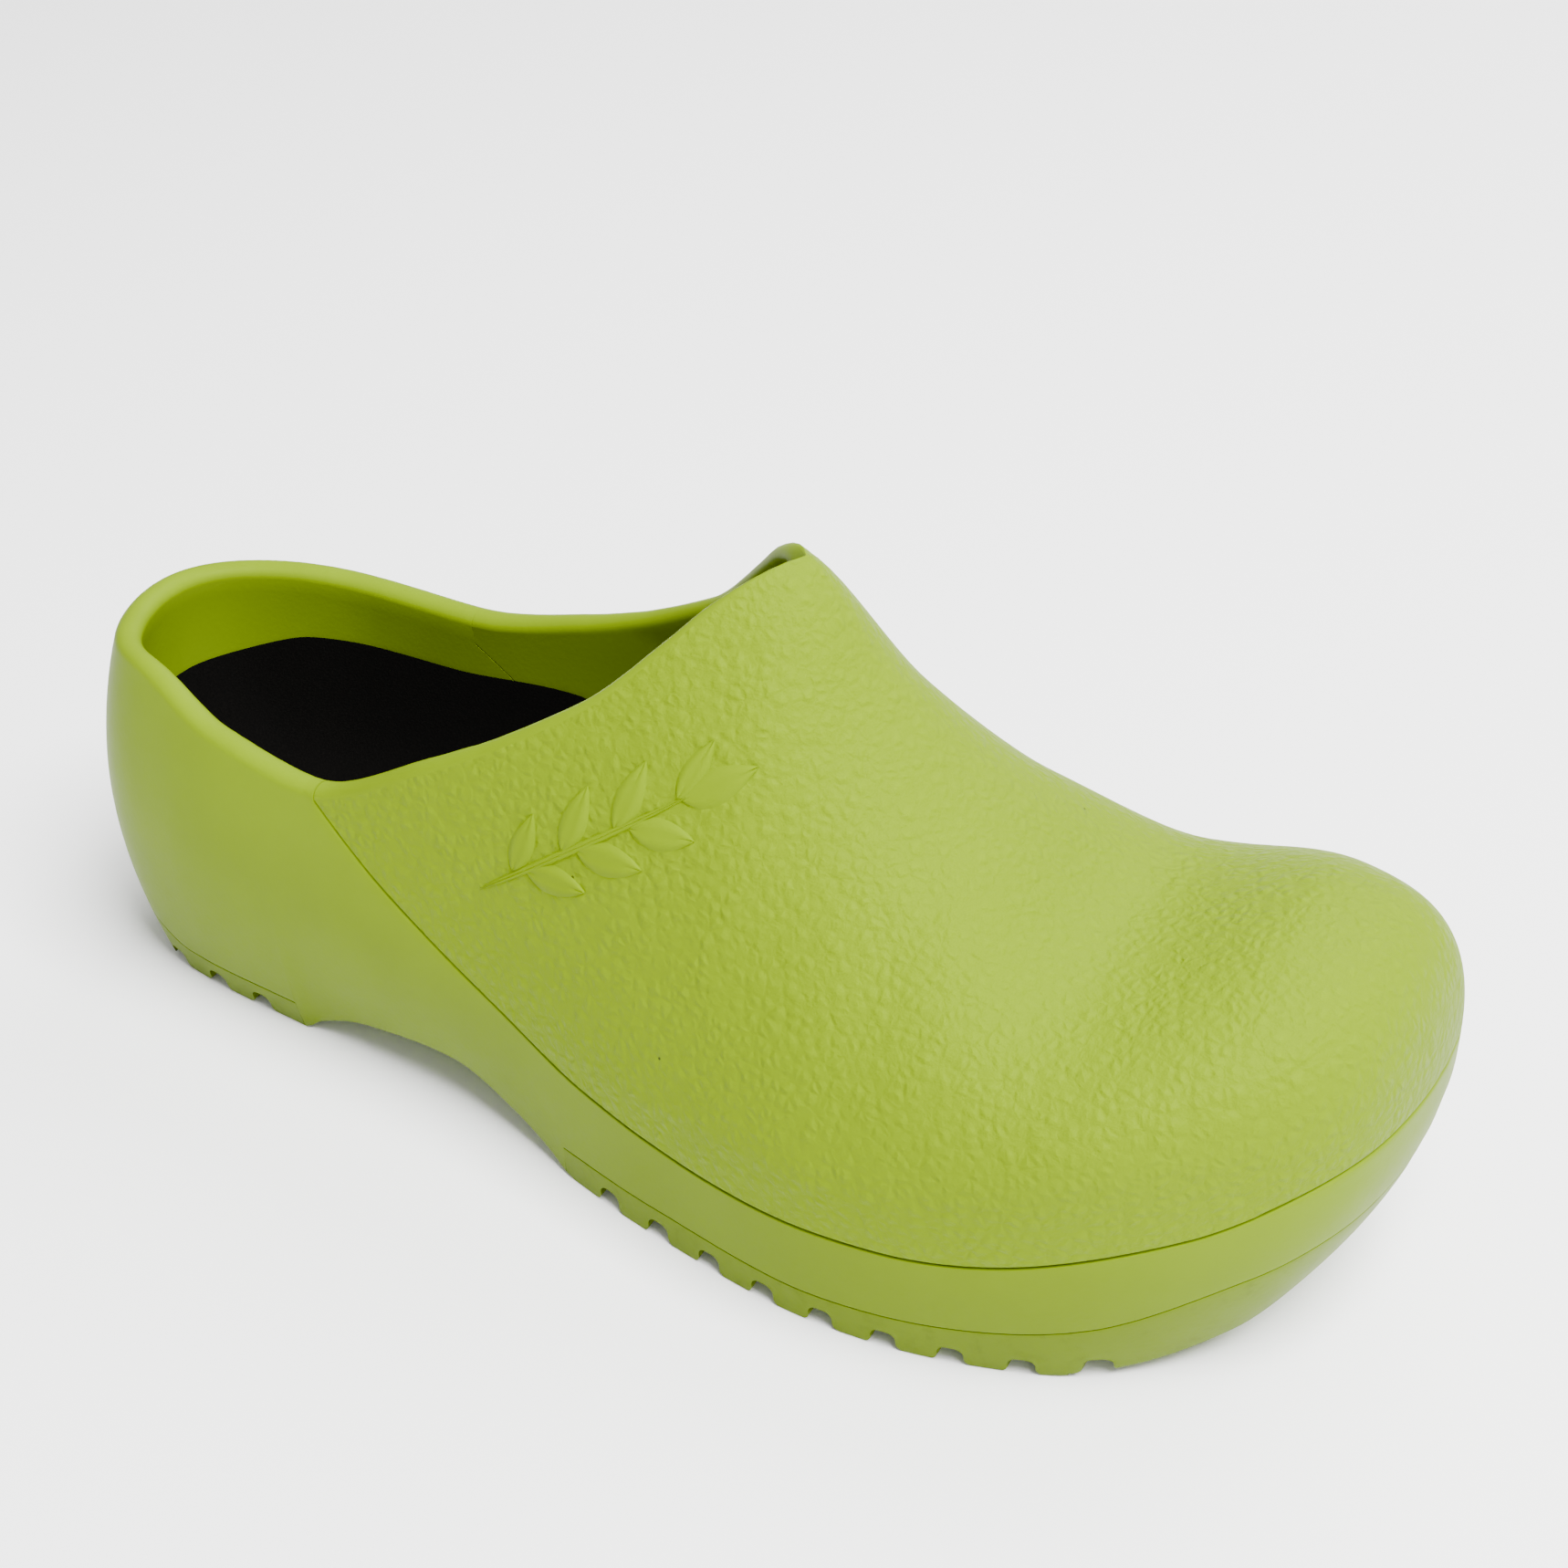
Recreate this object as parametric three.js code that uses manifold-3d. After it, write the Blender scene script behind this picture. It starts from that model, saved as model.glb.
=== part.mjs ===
// Right-foot garden clog: a moulded polyurethane shoe with a loose, layered footbed.
// Millimetres, +X to the toe, +Y to the medial side, +Z up, ground at z = 0.
import * as THREE from "three";
import { mergeVertices } from "three/addons/utils/BufferGeometryUtils.js";
import Module from "manifold-3d";

const wasm = await Module();
wasm.setup();

// ---------------------------------------------------------------- driving sizes
const length = 279; // heel to toe
const ballWidth = 105; // widest, across the ball of the foot
const instepHeight = 122; // top of the pointed collar peak
const heelCollarHeight = 77; // collar at the back of the heel
const sideCollarHeight = 66; // lowest point of the collar, lateral side
const medialCollarHeight = 73; // lowest point of the collar, medial side
const toeBoxHeight = 75; // crown of the toe box
const waistHeight = 70; // dip of the top line behind the toe box
const partingHeight = 24; // joint line between upper and sole, along the ball
const toePartingHeight = 48; // the same line at the toe tip
const archRise = 12; // underside of the arch above the ground
const toeSpring = 17; // underside of the toe tip above the ground
const heelBevel = 9; // underside of the heel tip above the ground
const heelBevelLength = 18; // from the heel tip to the flat of the tread
const treadRunout = 5; // where the underside leaves the ground beside the arch
const heelBelt = 45; // widest level of the walls at the heel
const ballBelt = 34; // the same at the ball
const toeBelt = 51; // the same at the toe tip

const wallThickness = 5; // collar and upper
const sideWallThickness = 7; // sole wall beside the footbed
const heelFloor = 24; // sole thickness under the heel
const ballFloor = 14; // sole thickness under the ball

const treadThickness = 7.5;
const toeTreadHeight = 32; // joint line between tread and sole at the toe tip
const soleSkin = 1.4; // sole wall left between cavity and tread at the toe
const heelTreadEnd = 57;
const ballTreadStart = 128;
const groovePitch = 12.3;
const grooveWidth = 4.6;
const grooveDepth = 3.6;
const heelGrooves = 4;
const ballGrooves = 9;
const lastHeelGroove = 46;
const firstBallGroove = 140;

const footbedHeelHeight = 34; // top of the footbed, middle of the heel
const footbedBallHeight = 23; // top of the footbed, under the ball
const heelCupHeight = 58; // rim of the footbed round the heel
const archSupportHeight = 62; // rim of the footbed at the medial arch
const lateralRimHeight = 53; // rim of the footbed, lateral side
const toeRimHeight = 32; // rim of the footbed round the toes
const cupSharpness = 3.2; // how late the footbed turns up into its rim
const coverThickness = 1.6;
const textileThickness = 1.2;
const baseThickness = 1.2;
const footbedClearance = 2.6; // footbed edge to the inside of the sole wall

const gap = 0.3; // between pieces that rest on each other
const floorGap = 0.5; // footbed above the curved floor
const partingGap = 0.4; // vertical opening of the joint line

const shellStations = 30; // sections from heel to toe, shell pieces
const footbedStations = 24; // sections from heel to toe, footbed layers
const beyond = 40; // how far cutting bodies reach past the clog

// ---------------------------------------------------------------- curves
// Smooth curve through a few points that never overshoots them; flat outside its ends.
function through(points) {
  const slopes = points.map((point, i) => {
    if (i === 0 || i === points.length - 1) return 0;
    const before = (point[1] - points[i - 1][1]) / (point[0] - points[i - 1][0]);
    const after = (points[i + 1][1] - point[1]) / (points[i + 1][0] - point[0]);
    return before * after <= 0 ? 0 : (2 * before * after) / (before + after);
  });
  return (x) => {
    if (x <= points[0][0]) return points[0][1];
    const i = points.findIndex((point) => point[0] >= x) - 1;
    if (i < 0) return points[points.length - 1][1];
    const span = points[i + 1][0] - points[i][0];
    const t = (x - points[i][0]) / span;
    const rise = points[i + 1][1] - points[i][1];
    const blend = t * t * (3 - 2 * t);
    const start = slopes[i] * span * t * (1 - t) * (1 - t);
    const end = slopes[i + 1] * span * t * t * (t - 1);
    return points[i][1] + rise * blend + start + end;
  };
}
const at = (fraction) => fraction * length;
const side = (fraction) => fraction * ballWidth;

// Plan outline at its widest level, heel to toe along the lateral side and back.
const lateralOutline = [
  [0, 0], [0.03, -0.22], [0.108, -0.31], [0.245, -0.35], [0.4, -0.39],
  [0.54, -0.48], [0.675, -0.55], [0.81, -0.52], [0.917, -0.375], [0.98, -0.185],
];
const medialOutline = [
  [1, 0.11], [0.98, 0.31], [0.885, 0.443], [0.77, 0.459], [0.645, 0.434],
  [0.52, 0.382], [0.387, 0.335], [0.25, 0.328], [0.12, 0.305], [0.03, 0.18],
];
const outline = new THREE.CatmullRomCurve3(
  [...lateralOutline, ...medialOutline].map(([x, y]) => new THREE.Vector3(at(x), side(y), 0)),
  true,
  "catmullrom",
);
const outlineSteps = 400;
const plan = outline.getPoints(outlineSteps);
const toeStep = (outlineSteps * lateralOutline.length) / (lateralOutline.length + medialOutline.length);
const lateralPlan = plan.slice(0, toeStep + 1);
const medialPlan = plan.slice(toeStep).reverse();
// Height across the plan of one half of the outline at a given distance from the heel.
function planY(half, x) {
  const i = Math.max(1, half.findIndex((point) => point.x >= x));
  const t = (x - half[i - 1].x) / (half[i].x - half[i - 1].x);
  return THREE.MathUtils.lerp(half[i - 1].y, half[i].y, Math.min(1, Math.max(0, t)));
}

// Sections fan out round a heel centre and a toe centre, and stand across the spine between.
const heelCentre = at(0.15);
const toeCentre = at(0.835);
const spine = through([[0, 0], [at(0.54), side(0.02)], [length, side(0.07)]]);

// Top line over the spine, and the widest level where the wall turns into the dome.
const ridge = through([
  [0, 0.95 * instepHeight], [at(0.22), 0.975 * instepHeight], [at(0.4), 1.06 * instepHeight],
  [at(0.49), 1.055 * instepHeight], [at(0.553), instepHeight], [at(0.62), 0.83 * instepHeight],
  [at(0.7), 0.67 * instepHeight], [at(0.8), waistHeight], [at(0.91), toeBoxHeight],
  [length, 0.98 * toeBoxHeight],
]);
const peak = at(0.553);
const belt = through([
  [0, heelBelt], [at(0.29), 0.87 * heelBelt], [at(0.54), ballBelt], [at(0.72), 1.06 * ballBelt],
  [at(0.9), 0.92 * toeBelt], [length, toeBelt],
]);
const crownPower = through([
  [0, 1.85], [at(0.29), 1.82], [at(0.54), 1.3], [at(0.68), 1.55], [at(0.8), 2.3], [at(0.84), 2.5],
]);
const shoulderPower = through([
  [0, 1.9], [at(0.29), 1.87], [at(0.54), 1.5], [at(0.68), 1.9], [at(0.8), 3.4], [at(0.84), 4.2],
]);
const tuck = through([
  [0, 0.18], [at(0.14), 0.21], [at(0.36), 0.1], [at(0.54), 0.03], [at(0.7), 0.05], [at(0.82), 0.13],
  [length, 0.27],
]);

const underside = through([
  [0, heelBevel], [0.45 * heelBevelLength, 0.3 * heelBevel], [heelBevelLength, 0], [heelTreadEnd, 0],
  [heelTreadEnd + treadRunout, 0.3 * archRise], [at(0.27), 0.75 * archRise], [at(0.35), archRise],
  [at(0.41), 0.6 * archRise], [ballTreadStart - treadRunout, 0.3 * archRise], [ballTreadStart + 2, 0],
  [at(0.82), 0], [at(0.88), 0.15 * toeSpring], [at(0.94), 0.47 * toeSpring], [length, toeSpring],
]);
const treadLine = through([
  [at(0.04), 0.75 * (heelBevel + treadThickness)], [at(0.09), treadThickness], [at(0.65), treadThickness],
  [at(0.72), 1.15 * treadThickness], [at(0.85), 0.45 * toeTreadHeight],
  [at(0.94), 0.8 * toeTreadHeight], [length, toeTreadHeight],
]);
const cavityFloor = through([
  [at(0.1), heelFloor], [at(0.35), heelFloor], [at(0.6), ballFloor],
  [at(0.85), ballFloor], [at(0.93), ballFloor + 0.27 * toeSpring], [length, ballFloor + 0.75 * toeSpring],
]);
const parting = through([
  [at(0.24), sideCollarHeight], [at(0.315), 0.75 * sideCollarHeight],
  [at(0.394), 0.55 * sideCollarHeight], [at(0.484), 0.4 * sideCollarHeight],
  [at(0.59), 0.96 * partingHeight], [at(0.72), 1.04 * partingHeight],
  [at(0.9), 0.78 * toePartingHeight],
  [length, toePartingHeight],
]);
const lateralCollar = through([
  [0, heelCollarHeight], [at(0.07), heelCollarHeight], [at(0.16), 1.05 * sideCollarHeight],
  [at(0.237), sideCollarHeight], [at(0.34), 0.65 * instepHeight],
  [at(0.448), 0.805 * instepHeight], [peak, instepHeight],
]);
const medialCollar = through([
  [0, heelCollarHeight], [at(0.07), 0.985 * heelCollarHeight],
  [at(0.16), 1.01 * medialCollarHeight], [at(0.237), medialCollarHeight],
  [at(0.34), 0.655 * instepHeight], [at(0.448), 0.78 * instepHeight], [peak, instepHeight],
]);

// ---------------------------------------------------------------- sections
// Sections in ring order: heel to toe on the lateral side, toe to heel on the medial side.
function sections(count) {
  const ring = [];
  for (let i = 0; i < 2 * count; i += 1) {
    const x = (length * (1 - Math.cos((Math.PI * i) / count))) / 2;
    const rim = new THREE.Vector2(x, planY(i <= count ? lateralPlan : medialPlan, x));
    const centreX = THREE.MathUtils.clamp(x, heelCentre, toeCentre);
    const centre = new THREE.Vector2(centreX, spine(centreX));
    const medial = rim.y > centre.y ? 1 : 0;
    const reach = rim.distanceTo(centre);
    ring.push({ x, centre, reach, medial, outward: rim.sub(centre).normalize() });
  }
  return ring;
}
// Share of the reach that the outer surface keeps at height z.
function outerShare(where, z) {
  const widest = belt(where.centre.x);
  if (z <= widest) {
    const low = underside(where.x);
    return 1 - tuck(where.x) * ((widest - z) / (widest - low)) ** 2;
  }
  const climb = Math.min(1, (z - widest) / (ridge(where.centre.x) - widest));
  return (1 - climb ** crownPower(where.centre.x)) ** (1 / shoulderPower(where.centre.x));
}
// Height of the dome at a share of the reach, with its crown lowered by some thickness.
function domeHeight(where, share, lowered) {
  const x = where.centre.x + (where.x - where.centre.x) * share;
  const crown = where.x < heelCentre ? ridge(heelCentre) : ridge(x);
  const widest = belt(where.centre.x);
  const rise = (1 - share ** shoulderPower(where.centre.x)) ** (1 / crownPower(where.centre.x));
  return widest + (crown - lowered - widest) * rise;
}
function place(where, radius, z) {
  return [
    where.centre.x + where.outward.x * radius,
    where.centre.y + where.outward.y * radius,
    z,
  ];
}

// ---------------------------------------------------------------- solids
function solidOf(geometry) {
  geometry.deleteAttribute("normal");
  geometry.deleteAttribute("uv");
  const merged = mergeVertices(geometry, 1e-4);
  const corners = merged.index.array;
  const triVerts = [];
  for (let i = 0; i < corners.length; i += 3) {
    const [a, b, c] = corners.slice(i, i + 3);
    if (a !== b && b !== c && c !== a) triVerts.push(a, b, c);
  }
  return new wasm.Manifold(
    new wasm.Mesh({
      numProp: 3,
      vertProperties: merged.attributes.position.array,
      triVerts: new Uint32Array(triVerts),
    }),
  );
}
function meshOf(name, solid, material) {
  const { vertProperties, triVerts } = solid.getMesh();
  const geometry = new THREE.BufferGeometry();
  geometry.setAttribute("position", new THREE.BufferAttribute(vertProperties, 3));
  geometry.setIndex(new THREE.BufferAttribute(triVerts, 1));
  geometry.computeVertexNormals();
  const mesh = new THREE.Mesh(geometry, material);
  mesh.name = name;
  return mesh;
}
// Closed body from a ring of sections: each row gives [radius, height] of every section.
// Faces that close inward are split the other way, so that stacked layers match.
function ringSolid(ring, rows) {
  const polar = rows.map((row) => ring.map(row));
  const points = polar.map((row) => row.map((pair, j) => place(ring[j], ...pair)));
  const corners = [];
  for (let i = 0; i + 1 < rows.length; i += 1) {
    for (let j = 0; j < ring.length; j += 1) {
      const next = (j + 1) % ring.length;
      const [a, b, c, d] = [points[i][j], points[i][next], points[i + 1][next], points[i + 1][j]];
      const inward = polar[i + 1][j][0] < polar[i][j][0];
      if (inward) corners.push(...a, ...b, ...d, ...b, ...c, ...d);
      else corners.push(...a, ...b, ...c, ...a, ...c, ...d);
    }
  }
  const geometry = new THREE.BufferGeometry();
  geometry.setAttribute("position", new THREE.Float32BufferAttribute(corners, 3));
  return solidOf(geometry);
}
// Body with a side-view outline of [x, z] points, as wide as the clog and more.
function sideCut(points) {
  const shape = new THREE.Shape(points.map(([x, z]) => new THREE.Vector2(x, z)));
  const width = ballWidth + 2 * beyond;
  const geometry = new THREE.ExtrudeGeometry(shape, { depth: width, bevelEnabled: false });
  geometry.rotateX(Math.PI / 2).translate(0, width / 2, 0);
  return solidOf(geometry);
}
// The part of a side-view curve between two distances from the heel, as [x, z] points.
function trace(curve, from, to, rise) {
  const steps = Math.ceil((to - from) / 6);
  return Array.from({ length: steps + 1 }, (_, i) => {
    const x = from + ((to - from) * i) / steps;
    return [x, curve(x) + rise];
  });
}
const shares = (count, from, to) =>
  Array.from({ length: count }, (_, i) => from + ((to - from) * i) / (count - 1));
const domeShares = (count) => shares(count, 0, 1).slice(1).map((t) => Math.cos((t * Math.PI) / 2));

// ---------------------------------------------------------------- shell
const floorShares = [0, 0.45, 0.75, 0.9, 1];
const shellRing = sections(shellStations);
const foot = (where) => where.reach * outerShare(where, underside(where.x));
function bodySolid() {
  const bottom = [0, 0.5, 0.8, 1].map((share) => (where) => {
    const radius = share * foot(where);
    return [radius, underside(place(where, radius, 0)[0])];
  });
  const wall = shares(5, 0, 1).slice(1).map((t) => (where) => {
    const z = THREE.MathUtils.lerp(underside(where.x), belt(where.centre.x), t);
    return [where.reach * outerShare(where, z), z];
  });
  const dome = domeShares(11).map((share) => (where) => [
    where.reach * share,
    domeHeight(where, share, 0),
  ]);
  return ringSolid(shellRing, [...bottom, ...wall, ...dome]);
}
// Inside of the wall: thick beside the footbed, thinning to the collar.
function insideRadius(where, z) {
  const widest = belt(where.centre.x);
  const high = THREE.MathUtils.clamp((z - widest) / (medialCollarHeight - widest), 0, 1);
  const thickness = THREE.MathUtils.lerp(sideWallThickness, wallThickness, high);
  return where.reach * outerShare(where, z) - thickness;
}
function cavitySolid() {
  const bottom = floorShares.map((share) => (where) => {
    const radius = share * insideRadius(where, cavityFloor(where.x));
    return [radius, cavityFloor(place(where, radius, 0)[0])];
  });
  const wall = shares(4, 0, 1).slice(1).map((t) => (where) => {
    const z = THREE.MathUtils.lerp(cavityFloor(where.x), belt(where.centre.x), t);
    return [insideRadius(where, z), z];
  });
  const dome = domeShares(10).map((share) => (where) => {
    const z = domeHeight(where, share, wallThickness);
    const high = THREE.MathUtils.clamp((1 - share) * 5, 0, 1);
    const thickness = THREE.MathUtils.lerp(sideWallThickness, wallThickness, high);
    return [(where.reach - thickness) * share, z];
  });
  return ringSolid(shellRing, [...bottom, ...wall, ...dome]);
}
// Everything above the collar, from behind the heel up to the peak.
function openingSolid() {
  const stations = trace(() => 0, -beyond, peak, 0).map(([x]) => x);
  const blend = wallThickness * 3;
  const top = instepHeight + beyond;
  const outlineAt = (x) => {
    const [low, high] = [lateralCollar(x), medialCollar(x)];
    return [
      [x, -ballWidth, low], [x, -blend, low], [x, blend, high],
      [x, ballWidth, high], [x, ballWidth, top], [x, -ballWidth, top],
    ];
  };
  const rings = stations.map(outlineAt);
  const corners = [];
  const quad = (a, b, c, d) => corners.push(...a, ...c, ...b, ...a, ...d, ...c);
  for (let i = 0; i + 1 < rings.length; i += 1) {
    for (let j = 0; j < 6; j += 1) {
      const next = (j + 1) % 6;
      quad(rings[i][j], rings[i + 1][j], rings[i + 1][next], rings[i][next]);
    }
  }
  const [first, last] = [rings[0], rings[rings.length - 1]];
  for (const [a, b, c, d] of [[0, 1, 4, 5], [1, 2, 3, 4]]) {
    quad(first[a], first[b], first[c], first[d]);
    quad(last[d], last[c], last[b], last[a]);
  }
  const geometry = new THREE.BufferGeometry();
  geometry.setAttribute("position", new THREE.Float32BufferAttribute(corners, 3));
  return solidOf(geometry);
}
function abovePartingSolid(rise) {
  const line = trace(parting, at(0.24), length + beyond, rise);
  const top = instepHeight + beyond;
  return sideCut([[at(0.24), top], ...line, [length + beyond, top]]);
}
// Middle of the sole unit, which the tread wraps at the toe.
function soleCore(inset) {
  const radius = (where) => insideRadius(where, treadLine(where.x)) + soleSkin - inset;
  const bottom = [0, 0.5, 0.8, 1].map((share) => (where) => {
    const x = place(where, share * radius(where), 0)[0];
    return [share * radius(where), underside(x) + treadThickness + inset];
  });
  const top = [1, 0].map((share) => (where) => [share * radius(where), instepHeight]);
  return ringSolid(shellRing, [...bottom, ...top]);
}
// The tread zone under the sole between two distances from the heel, grown by some margin.
function treadZone(from, to, margin) {
  const line = trace(treadLine, from - margin, to + margin, margin);
  const zone = sideCut([[to + margin, -beyond], ...line.reverse(), [from - margin, -beyond]]);
  return zone.subtract(soleCore(margin));
}
function grooveSolid(x) {
  const base = underside(x);
  const half = grooveWidth / 2;
  const shape = new THREE.Shape();
  shape.moveTo(x - half - 1, base - beyond);
  shape.lineTo(x + half + 1, base - beyond);
  shape.lineTo(x + half + 1, base - 0.2);
  shape.lineTo(x + half, base + 0.8);
  shape.lineTo(x + half, base + grooveDepth - half);
  shape.absarc(x, base + grooveDepth - half, half, 0, Math.PI, false);
  shape.lineTo(x - half, base + 0.8);
  shape.lineTo(x - half - 1, base - 0.2);
  const width = ballWidth + 2 * beyond;
  const settings = { depth: width, bevelEnabled: false, curveSegments: 6 };
  const geometry = new THREE.ExtrudeGeometry(shape, settings);
  geometry.rotateX(Math.PI / 2).translate(0, width / 2, 0);
  return solidOf(geometry);
}
function tread(body, from, to, firstGroove, count) {
  let solid = body.intersect(treadZone(from, to, 0));
  for (let i = 0; i < count; i += 1) {
    solid = solid.subtract(grooveSolid(firstGroove + i * groovePitch));
  }
  return solid;
}

// ---------------------------------------------------------------- footbed
const footbedRing = sections(footbedStations);
const rimMedial = through([
  [0, 0.96 * heelCupHeight], [at(0.09), 1.03 * heelCupHeight], [at(0.22), 0.96 * archSupportHeight],
  [at(0.33), archSupportHeight], [at(0.44), 0.78 * archSupportHeight],
  [at(0.6), 1.25 * toeRimHeight], [at(0.75), toeRimHeight], [at(0.88), toeRimHeight],
  [length, 1.3 * toeRimHeight],
]);
const rimLateral = through([
  [0, 0.96 * heelCupHeight], [at(0.09), heelCupHeight], [at(0.22), lateralRimHeight],
  [at(0.4), 0.85 * lateralRimHeight], [at(0.6), 1.15 * toeRimHeight], [at(0.75), toeRimHeight],
  [at(0.88), toeRimHeight], [length, 1.3 * toeRimHeight],
]);
const middle = through([
  [at(0.05), footbedHeelHeight], [at(0.2), footbedHeelHeight],
  [at(0.36), footbedHeelHeight + 1], [at(0.6), footbedBallHeight],
  [at(0.85), footbedBallHeight], [at(0.93), footbedBallHeight + 0.27 * toeSpring],
  [length, footbedBallHeight + 0.7 * toeSpring],
]);
const rimHeight = (where) => (where.medial ? rimMedial : rimLateral)(where.x);
const footbedRadius = (where, z) => insideRadius(where, z) - footbedClearance;
// Every layer turns up to the same rim radius, so that the layers nest.
const rimRadius = (where) => Math.min(
  footbedRadius(where, rimHeight(where)),
  footbedRadius(where, rimHeight(where) - coreTop),
);
// Walking surface of the footbed at a share of its width, lowered by the layers above.
function cup(share, lowered) {
  return (where) => {
    const radius = share * rimRadius(where);
    const low = middle(place(where, radius, 0)[0]);
    return [radius, low + (rimHeight(where) - low) * share ** cupSharpness - lowered];
  };
}
function flat(share, raised) {
  return (where) => {
    const radius = share * footbedRadius(where, cavityFloor(where.x) + raised);
    return [radius, cavityFloor(place(where, radius, 0)[0]) + raised];
  };
}
const cupShares = [0, 0.45, 0.7, 0.86, 1];
const coreBottom = floorGap + baseThickness + gap;
const textileTop = coverThickness + gap;
const coreTop = textileTop + textileThickness + gap;
const backwards = (list) => [...list].reverse();
const layerBetween = (top, bottom) => ringSolid(footbedRing, [
  ...cupShares.map((share) => cup(share, bottom)),
  ...backwards(cupShares).map((share) => cup(share, top)),
]);
function coreSolid() {
  const sides = [0.33, 0.66].map((t) => (where) => {
    const from = cavityFloor(where.x) + coreBottom;
    const z = THREE.MathUtils.lerp(from, rimHeight(where) - coreTop, t);
    return [footbedRadius(where, z), z];
  });
  return ringSolid(footbedRing, [
    ...floorShares.map((share) => flat(share, coreBottom)),
    ...sides,
    ...backwards(cupShares).map((share) => cup(share, coreTop)),
  ]);
}
const baseSolid = () => ringSolid(footbedRing, [
  ...floorShares.map((share) => flat(share, floorGap)),
  ...backwards(floorShares).map((share) => flat(share, floorGap + baseThickness)),
]);

// ---------------------------------------------------------------- materials
const surface = (color, roughness) => new THREE.MeshStandardMaterial({ color, roughness, metalness: 0 });
const limeGrained = surface(0xb4d23e, 0.5);
const limeSmooth = surface(0xadcb3a, 0.4);
const limeTread = surface(0x9fbc34, 0.55);
const microfibre = surface(0x121211, 0.95);
const textile = surface(0xb59b6c, 0.95);
const cork = surface(0x8a5f38, 0.9);

// ---------------------------------------------------------------- assembly
const body = bodySolid();
const shell = body.subtract(cavitySolid()).subtract(openingSolid());
const upper = shell.intersect(abovePartingSolid(partingGap / 2));
const soleUnit = shell
  .subtract(abovePartingSolid(-partingGap / 2))
  .subtract(treadZone(-beyond, heelTreadEnd, gap))
  .subtract(treadZone(ballTreadStart, length + beyond, gap));
const firstHeelGroove = lastHeelGroove - (heelGrooves - 1) * groovePitch;
const ballTread = tread(body, ballTreadStart, length + beyond, firstBallGroove, ballGrooves);
const heelTread = tread(body, -beyond, heelTreadEnd, firstHeelGroove, heelGrooves);

const clog = new THREE.Group();
clog.add(
  meshOf("upper", upper, limeGrained),
  meshOf("sole_unit", soleUnit, limeSmooth),
  meshOf("ball_tread", ballTread, limeTread),
  meshOf("heel_tread", heelTread, limeTread),
  meshOf("footbed_cover", layerBetween(0, coverThickness), microfibre),
  meshOf("footbed_textile", layerBetween(textileTop, textileTop + textileThickness), textile),
  meshOf("footbed_core", coreSolid(), cork),
  meshOf("footbed_base", baseSolid(), textile),
);

// Origin on the ground under the middle of the clog's bounding box.
const bounds = new THREE.Box3().setFromObject(clog);
const centre = bounds.getCenter(new THREE.Vector3());
clog.position.set(-centre.x, -centre.y, -bounds.min.z);

export default clog;
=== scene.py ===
from math import cos, pi, radians, sin

import bpy
import numpy as np
from bpy.props import FloatProperty, FloatVectorProperty, IntProperty, PointerProperty
from mathutils import Matrix, Vector


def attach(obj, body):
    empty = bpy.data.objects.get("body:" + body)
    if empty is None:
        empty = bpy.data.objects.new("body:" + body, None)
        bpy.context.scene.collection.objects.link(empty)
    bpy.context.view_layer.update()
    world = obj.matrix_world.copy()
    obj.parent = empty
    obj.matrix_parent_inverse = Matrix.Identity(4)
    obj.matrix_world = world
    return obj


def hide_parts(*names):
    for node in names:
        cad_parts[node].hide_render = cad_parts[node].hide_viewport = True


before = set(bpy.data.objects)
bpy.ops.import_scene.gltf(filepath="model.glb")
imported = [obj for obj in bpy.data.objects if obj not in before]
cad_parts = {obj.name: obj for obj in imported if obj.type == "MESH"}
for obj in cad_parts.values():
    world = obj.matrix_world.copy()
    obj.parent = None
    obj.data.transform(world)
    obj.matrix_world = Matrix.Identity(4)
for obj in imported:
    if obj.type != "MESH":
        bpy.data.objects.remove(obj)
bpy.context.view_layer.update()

bl_info = {
    "name": "Garden Clog",
    "version": (1, 0, 0),
    "blender": (4, 5, 0),
    "location": "View3D > Sidebar > Clog",
    "description": "Fine surfaces and finishes for a moulded garden clog on its CAD frame",
    "category": "Add Mesh",
}

MM = 0.001

# Fits and fine sizes in millimetres.
PARTING_GAP = 0.2  # upper and sole unit each stop this far from the parting line
TREAD_GAP = 0.15  # between the sole unit and its treads
FLANK = 0.15  # half the length over which the sole steps up to a tread or to the collar
LEAST_STEP = 0.3  # least distance between two sections near an end
PEAK_FADE = 14  # length over which the rounded collar edge runs out at the peak
GROUND_ROUND = 0.9  # rounding of the treads where they meet the ground

EDGE_FULLNESS = 0.46  # height of the rounded collar edge as a share of the wall
EDGE_AT_PEAK = 0.35  # share of that height which the edge keeps at the peak
SMOOTH_ANGLE = radians(38)
TREAD_SMOOTH_ANGLE = radians(35)


# ---------------------------------------------------------------- settings
def size(name, description, default):
    """A length in millimetres that the sidebar can change."""
    return FloatProperty(name=name, description=description, default=default, min=0.0)


def colour(name, description, default):
    """A surface colour that the sidebar can change."""
    return FloatVectorProperty(
        name=name, description=description, default=default,
        subtype="COLOR", size=3, min=0.0, max=1.0,
    )


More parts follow.
